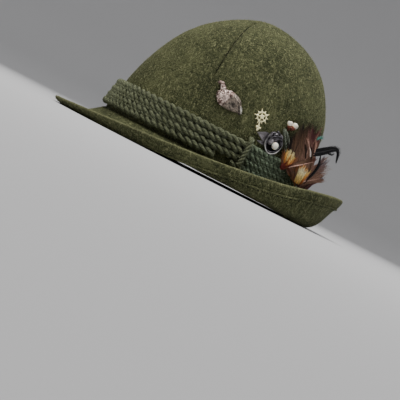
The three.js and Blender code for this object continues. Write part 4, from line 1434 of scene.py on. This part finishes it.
# %% Barbs and vane
def feather(points, width, stops, layer, seed, barbs=130, angle=24, quill=None, sides=(-1, 1), ragged=0.14,
            profile=FULL, quill_radius=0.45, solid=0.86):
    """Barbs on both sides of a quill that runs through a few points (across, up), over a plain vane."""
    chance = random.Random(seed)
    path = smooth_path([(x, 0, z) for x, z in points], PATH_POINTS)
    tangents = slopes(path)
    broad = np.linalg.norm(path[-1] - path[0]) / barbs
    verts, faces, colors = [], [], []
    for side in sides:
        for i in range(barbs):
            t = min(0.99, (i + chance.random() * 0.8) / barbs)
            k = int(t * (PATH_POINTS - 1))
            root, ahead = path[k], tangents[k]
            across = np.array([ahead[2], 0, -ahead[0]]) * side
            lean = math.radians(angle * (1 - 0.4 * t) + chance.uniform(-3, 3))
            length = half_width(width, profile, t) / math.sin(lean)
            length *= 1 + chance.uniform(-ragged, ragged * 0.6)
            away = ahead * math.cos(lean) + across * math.sin(lean)
            lift, shade = chance.uniform(-0.25, 0.25), chance.uniform(0.55, 1.3)
            faces += grid_faces(BARB_ROWS, 2, first=len(verts))
            for row in range(BARB_ROWS):
                share = row / (BARB_ROWS - 1)
                centre = root + away * length * share + ahead * length * 0.16 * share**2
                outward = layer + lift + bowed(t) * (1 - 0.6 * share**2)
                wide = ahead * broad * (1 if share < 1 else 0.24)
                for point in (centre - wide, centre + wide):
                    verts.append((point[0], outward, point[2]))
                    colors.append(blend(stops, t * 0.75 + share * 0.25) * shade)
    # The plain vane under the barbs is painted at three quarters of their colour, as painted shade between
    # them.
    rows = range(0, PATH_POINTS, VANE_EVERY)
    faces += grid_faces(len(rows), 3, first=len(verts))
    for i in rows:
        t = i / (PATH_POINTS - 1)
        half = half_width(width, profile, t) * solid
        across = np.array([tangents[i][2], 0, -tangents[i][0]])
        for reach in (-1, 0, 1):
            point = path[i] + across * half * reach * (reach in sides)
            verts.append((point[0], layer - 0.35 + bowed(t) * (1 - 0.4 * abs(reach)), point[2]))
            colors.append(blend(stops, min(1, t + 0.15 * abs(reach))) * 0.75)
    vane = tuft_place("vane", verts, faces, colors)
    apply_modifier(vane, "SOLIDIFY", thickness=0.1 * MM, offset=0)
    return [vane] if quill is None else [vane, quill_of(points, layer, quill_radius, quill)]


def tuft(name, feathers, material, slot, node):
    piece = join([part for plumes in feathers for part in plumes], name)
    face_outward(piece)
    smooth(piece, 50)
    return finished(piece, name, material, slot, node)


# %% [markdown]
# ## The tuft, layer by layer
# Soft brown and purplish body feathers lie at the back, and two broad ones with pale pink quills cross them.
# Golden plumes with dark red feet cover the tuft's foot, many and thin, as a single large one would look
# like a leaf. One thin black feather stands out behind and hooks over.

# %% Brown, gold and black feathers
DARK = srgb(34, 22, 16)
BROWN = srgb(108, 80, 60)
ROSY = srgb(164, 124, 104)
PINK = srgb(204, 160, 142)
PURPLE = srgb(112, 62, 66)
WHITE = srgb(255, 238, 226)
GREY = srgb(96, 92, 110)
ORANGE = srgb(196, 112, 54)
GOLD = srgb(232, 164, 78)
PALE = srgb(255, 228, 142)
CREAM = srgb(255, 246, 204)
RED = srgb(104, 30, 18)
BLACK = srgb(14, 13, 17)
TEAL = srgb(92, 156, 142)

brown = [
    feather([(-1, 2), (-5.5, 16), (-6.5, 29)], 8, [(0, BROWN), (0.4, DARK), (1, DARK)], -0.3, 10, ragged=0.4),
    feather([(3, 0.5), (-1, 18), (-2, 38)], 11, [(0, BROWN), (0.5, BROWN), (0.8, DARK)], 0, 1, quill=DARK),
    feather([(9, 1), (5.5, 19), (5, 39)], 13, [(0, ROSY), (0.5, BROWN), (0.85, DARK)], 0.5, 2, quill=BROWN),
    feather([(17, 4), (12, 19), (10, 37)], 13, [(0, ROSY), (0.5, ROSY), (0.75, PURPLE), (1, DARK)], 0.9, 3,
            quill=PINK),
    feather([(24, 8), (19, 20), (14.5, 34)], 11, [(0, BROWN), (0.35, ROSY), (0.7, PURPLE), (1, PURPLE)],
            1.2, 4, quill=BROWN),
    # The next three narrow white and pink feathers are painted highlights across the brown feathers.
    feather([(15.8, 20.5), (13, 24.5), (10.5, 28)], 2.8, [(0, WHITE), (0.5, PINK), (1, ROSY)], 2.5, 5, 30, 20,
            quill=WHITE, quill_radius=0.7),
    feather([(11, 26), (7.5, 30), (4, 33.5)], 2.2, [(0, PINK), (1, ROSY)], 2.3, 28, 30, 20, quill=PINK),
    feather([(18.5, 23.5), (16, 31), (12.5, 37)], 2.4, [(0, PINK), (0.5, ROSY), (1, PURPLE)], 2.3, 24, 40, 20,
            quill=PINK),
    feather([(12, 17), (8.6, 23), (4.5, 28)], 1.6, [(0, DARK), (1, DARK)], 2.8, 25, 30, 18),
    feather([(19, 17), (15, 24), (10, 30)], 1.6, [(0, DARK), (1, DARK)], 2.9, 26, 30, 18),
    feather([(12.5, 34), (16, 38.5), (20, 40.5)], 3.2, [(0, TEAL), (1, TEAL)], 1.0, 6, 30, ragged=0.3),
    feather([(-2.4, 2), (9, 9.2), (22, 17.6)], 8, [(0, ROSY), (0.5, BROWN), (1, RED)], 2.6, 7, sides=(-1,),
            quill=PINK, quill_radius=0.8),
    feather([(9, -5), (22, 5), (31, 15)], 14, [(0, ROSY), (0.5, ROSY), (1, BROWN)], 0.2, 27),
    feather([(24, -12), (29, -4), (36, 5)], 10, [(0, BROWN), (0.5, PURPLE), (1, GREY)], 0.3, 29, 60,
            quill=DARK),
    feather([(20, -9), (28, 6), (33.5, 21)], 10, [(0, PURPLE), (0.4, ROSY), (1, GREY)], 0.7, 8, quill=DARK),
    feather([(15.5, -7), (27, 0.4), (38.5, 7)], 9, [(0, ROSY), (0.6, ROSY), (1, BROWN)], 1.6, 9,
            quill=PINK, quill_radius=0.9),
]
tuft("feathers_brown", brown, VANE, "brown_feather", "brown_feathers")

FLAME = [(0, RED), (0.25, ORANGE), (0.55, GOLD), (0.85, PALE), (1, CREAM)]
LIGHT_FLAME = [(0, RED), (0.2, GOLD), (0.5, PALE), (1, CREAM)]
DULL_FLAME = [(0, RED), (0.4, BROWN), (1, ORANGE)]
PATCH = [(0, GOLD), (0.3, PALE), (0.6, CREAM), (0.8, GOLD), (1, ORANGE)]
BLUNT = (0.6, 1, 1, 0.9, 0.6, 0.2)
HOOK = (0.8, 1, 1, 0.8, 0.6, 0.45, 0.3, 0.15)


def plume(foot, tip, width, stops, layer, seed, bend=0.6, angle=22, profile=(0.3, 0.7, 1, 1, 0.8, 0.3)):
    """A short soft feather that bends a little to the front on its way up."""
    middle = ((foot[0] + tip[0]) / 2 - bend, (foot[1] + tip[1]) / 2)
    return feather([foot, middle, tip], width, stops, layer, seed, 34, angle, ragged=0.4, profile=profile)


gold = [
    plume((-6.6, -0.5), (-11.2, 10), 4.4, DULL_FLAME, 3.3, 11, 1.2),
    plume((-6, 0), (-10, 13.5), 3, FLAME, 3.8, 12, 1),
    plume((-5.4, 0.6), (-8, 16), 2.4, LIGHT_FLAME, 4.3, 13),
    plume((-5, 0.8), (-6, 12.5), 2.6, FLAME, 4.5, 19, 0.4),
    plume((-4.2, 1), (-3.6, 15), 2.4, LIGHT_FLAME, 4.2, 20, 0),
    plume((-3.6, 1), (-1.4, 12), 2.4, FLAME, 4, 21, -0.4),
    plume((-2.8, 1.3), (1, 10.5), 3.4, DULL_FLAME, 3.3, 18, -0.8),
    plume((-9.8, -2), (-5.6, 4.4), 8, [(0, RED), (0.7, RED), (1, ORANGE)], 4.7, 14, 0, 34),
    feather([(-2.8, 2.2), (4, 0), (11, -3.2)], 9, DULL_FLAME, 3.4, 15, 60, 34, ragged=0.5),
    plume((10.4, -5.4), (7.6, 5), 4, DULL_FLAME, 4.1, 22, 0.3, profile=BLUNT),
    plume((12, -6.4), (10.4, 7), 3.4, PATCH, 4.2, 16, 0, profile=BLUNT),
    plume((14.2, -6.8), (13.2, 9), 3.8, PATCH, 4.5, 17, 0, profile=BLUNT),
    plume((16.6, -6.8), (16.8, 7.4), 3.8, PATCH, 4.3, 23, 0, profile=BLUNT),
    plume((18.4, -6.6), (20.4, 5), 4, FLAME, 4.1, 24, 0, profile=BLUNT),
]
tuft("feathers_gold", gold, VANE, "gold_feather", "gold_feathers")

black = [
    feather([(23.5, -3.5), (28.8, 13.9), (26.5, 26)], 3, [(0, RED), (0.3, BLACK), (1, BLACK)], 2.7, 21, 60,
            quill=BLACK),
    feather([(17.5, 24.5), (27, 30.8), (36.4, 36.8), (42.3, 36.4), (46.2, 27.5)], 7.5,
            [(0, BLACK), (1, BLACK)], 2.7, 22, 150, 34, quill=BLACK, ragged=0.15, profile=HOOK, solid=1,
            quill_radius=0.6),
    feather([(30, 31), (35, 31), (39, 33)], 1.6, [(0, BLACK), (1, BLACK)], 2.4, 23, 40, 20, ragged=0.4),
]
tuft("feathers_black", black, BLACK_VANE, "black_feather", "black_feathers")

# %% [markdown]
# ## Loose fibres
# Wool felt and wool cord are hairy. Short fibres stand off them and soften every edge, and where they catch
# the light they read as fine flecks. Each fibre is a thin bent spike that starts on a face picked by chance.
# Those that would dip under the floor are kept just over it.

# %% Fibres
FLOOR_GAP, FLOOR_STEP = 0.05, 0.02


def fibres(name, pieces, count, length, radius, seed, outward_from=None):
    """Thin bent spikes on the pieces' faces. With a centre, only faces that look away from it carry them."""
    chance = np.random.default_rng(seed)
    roots, normals = [], []
    for piece in pieces:
        mesh = piece.data
        centres, areas, facing = (np.zeros(len(mesh.polygons) * k) for k in (3, 1, 3))
        mesh.polygons.foreach_get("center", centres)
        mesh.polygons.foreach_get("area", areas)
        mesh.polygons.foreach_get("normal", facing)
        centres, facing = centres.reshape(-1, 3), facing.reshape(-1, 3)
        if outward_from is not None:
            areas = areas * (((centres - np.array(outward_from) * MM) * facing).sum(axis=1) > 0)
        roots.append((centres, facing, areas))
    total = sum(areas.sum() for _, _, areas in roots)
    starts = []
    for centres, facing, areas in roots:
        picked = chance.choice(len(areas), int(count * areas.sum() / total), p=areas / areas.sum())
        drift = np.sqrt(areas[picked])[:, None] * chance.uniform(-0.6, 0.6, (len(picked), 3))
        normal = facing[picked]
        drift -= (drift * normal).sum(axis=1)[:, None] * normal
        starts.append(centres[picked] + drift)
        normals.append(normal)
    start, normal = np.vstack(starts) / MM, np.vstack(normals)
    number = len(start)
    away = square_to(chance.normal(size=(number, 3)), normal)
    across = np.cross(normal, away)
    reach = length * chance.uniform(0.5, 1.3, number)[:, None]
    rise = chance.uniform(0.15, 0.5, number)[:, None]
    curl = chance.uniform(-0.5, 0.5, number)[:, None]
    line = [start - normal * 0.3, start + reach * (0.5 * away + rise * 0.7 * normal),
            start + reach * (0.9 * away + curl * across + rise * 0.8 * normal)]
    rings = []
    for place, size in zip(line, (radius, radius * 0.8, radius * 0.25)):
        for k in range(3):
            angle = 2 * math.pi * k / 3
            rings.append(place + size * (math.cos(angle) * across + math.sin(angle) * normal))
    verts = np.stack(rings, axis=1).reshape(-1, 3)
    verts[:, 2] = np.maximum(verts[:, 2], FLOOR_GAP + FLOOR_STEP * (np.arange(len(verts)) % 9))
    pattern = grid_faces(3, 3, around=True) + [(2, 1, 0), (6, 7, 8)]
    faces = [tuple(9 * i + v for v in face) for i in range(number) for face in pattern]
    return mesh_piece(name, verts, faces)


def wool(name, color):
    fibre = Finish(name, Roughness=0.8, Base_Color=(*color, 1), Specular_IOR_Level=0.2, Sheen_Weight=0.2)
    return fibre.material


FELT_PIECES = [bpy.data.objects[n] for n in ("felt_front", "felt_back")]
CORD_PIECES = [bpy.data.objects[f"cord_{row}"] for row in (1, 2, 3, 4)]
finished(fibres("crown_fibres", FELT_PIECES, 7000, 2.6, 0.075, 5, (0, 0, 60)), "crown_fibres",
         wool("pale fibre", srgb(150, 148, 108)), "felt")
finished(fibres("brim_fibres", [bpy.data.objects["felt_brim"]], 6500, 2.4, 0.07, 6), "brim_fibres",
         wool("brim fibre", srgb(138, 137, 98)), "felt")
finished(fibres("cord_fibres", CORD_PIECES, 10000, 2.1, 0.06, 7, (0, 0, 30)), "cord_fibres",
         wool("cord fibre", srgb(136, 144, 116)), "cord")

# %% [markdown]
# ## Studio
# The hat stands on a pale floor whose rim curves up all round, so that no edge shows behind it. The light is
# soft. The strongest comes from above the front and a second from above the back, and a weak one fills the
# wearer's left side.

# %% Floor and light
BOWL_PROFILE = [(0, 0), (0.5, 0), (1, 0), (1.8, 0), (2.2, 0.05), (2.5, 0.2), (2.7, 0.5), (2.75, 1.0),
                (2.75, 2.4)]
studio = turned("studio", BOWL_PROFILE, 96)
smooth(studio, 60)
face_outward(studio, inside=True)
paper = Finish("paper", Roughness=0.9, Base_Color=(0.46, 0.46, 0.47, 1), Specular_IOR_Level=0.1)
studio.data.materials.append(paper.material)
studio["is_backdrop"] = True

world = bpy.data.worlds.new("studio")
bpy.context.scene.world = world
world.use_nodes = True
sky = world.node_tree.nodes["Background"].inputs
sky["Color"].default_value = (0.95, 0.97, 1, 1)
sky["Strength"].default_value = 0.3


def area_light(name, place, size, power, color=(1, 1, 1)):
    data = bpy.data.lights.new(name, "AREA")
    data.size, data.energy, data.color = size, power, color
    light = bpy.data.objects.new(name, data)
    light.location = place
    light.rotation_euler = (Vector((0, 0, 0.06)) - Vector(place)).to_track_quat("-Z", "Y").to_euler()
    bpy.context.collection.objects.link(light)
    return light


area_light("key", (-0.4, -0.45, 1.6), 0.7, 29, (1, 0.98, 0.94))
area_light("fill", (1.1, -1.0, 1.0), 1.0, 6)
area_light("top", (0.35, 0.2, 1.7), 1.0, 19)

# %% [markdown]
# ## The visual box
# The finished hat's box is printed, beside the CAD box that was printed at the start.

# %% Visual box
visual_box = [list(corner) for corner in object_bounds()]
print("visual box:", [[round(v, 4) for v in corner] for corner in visual_box])
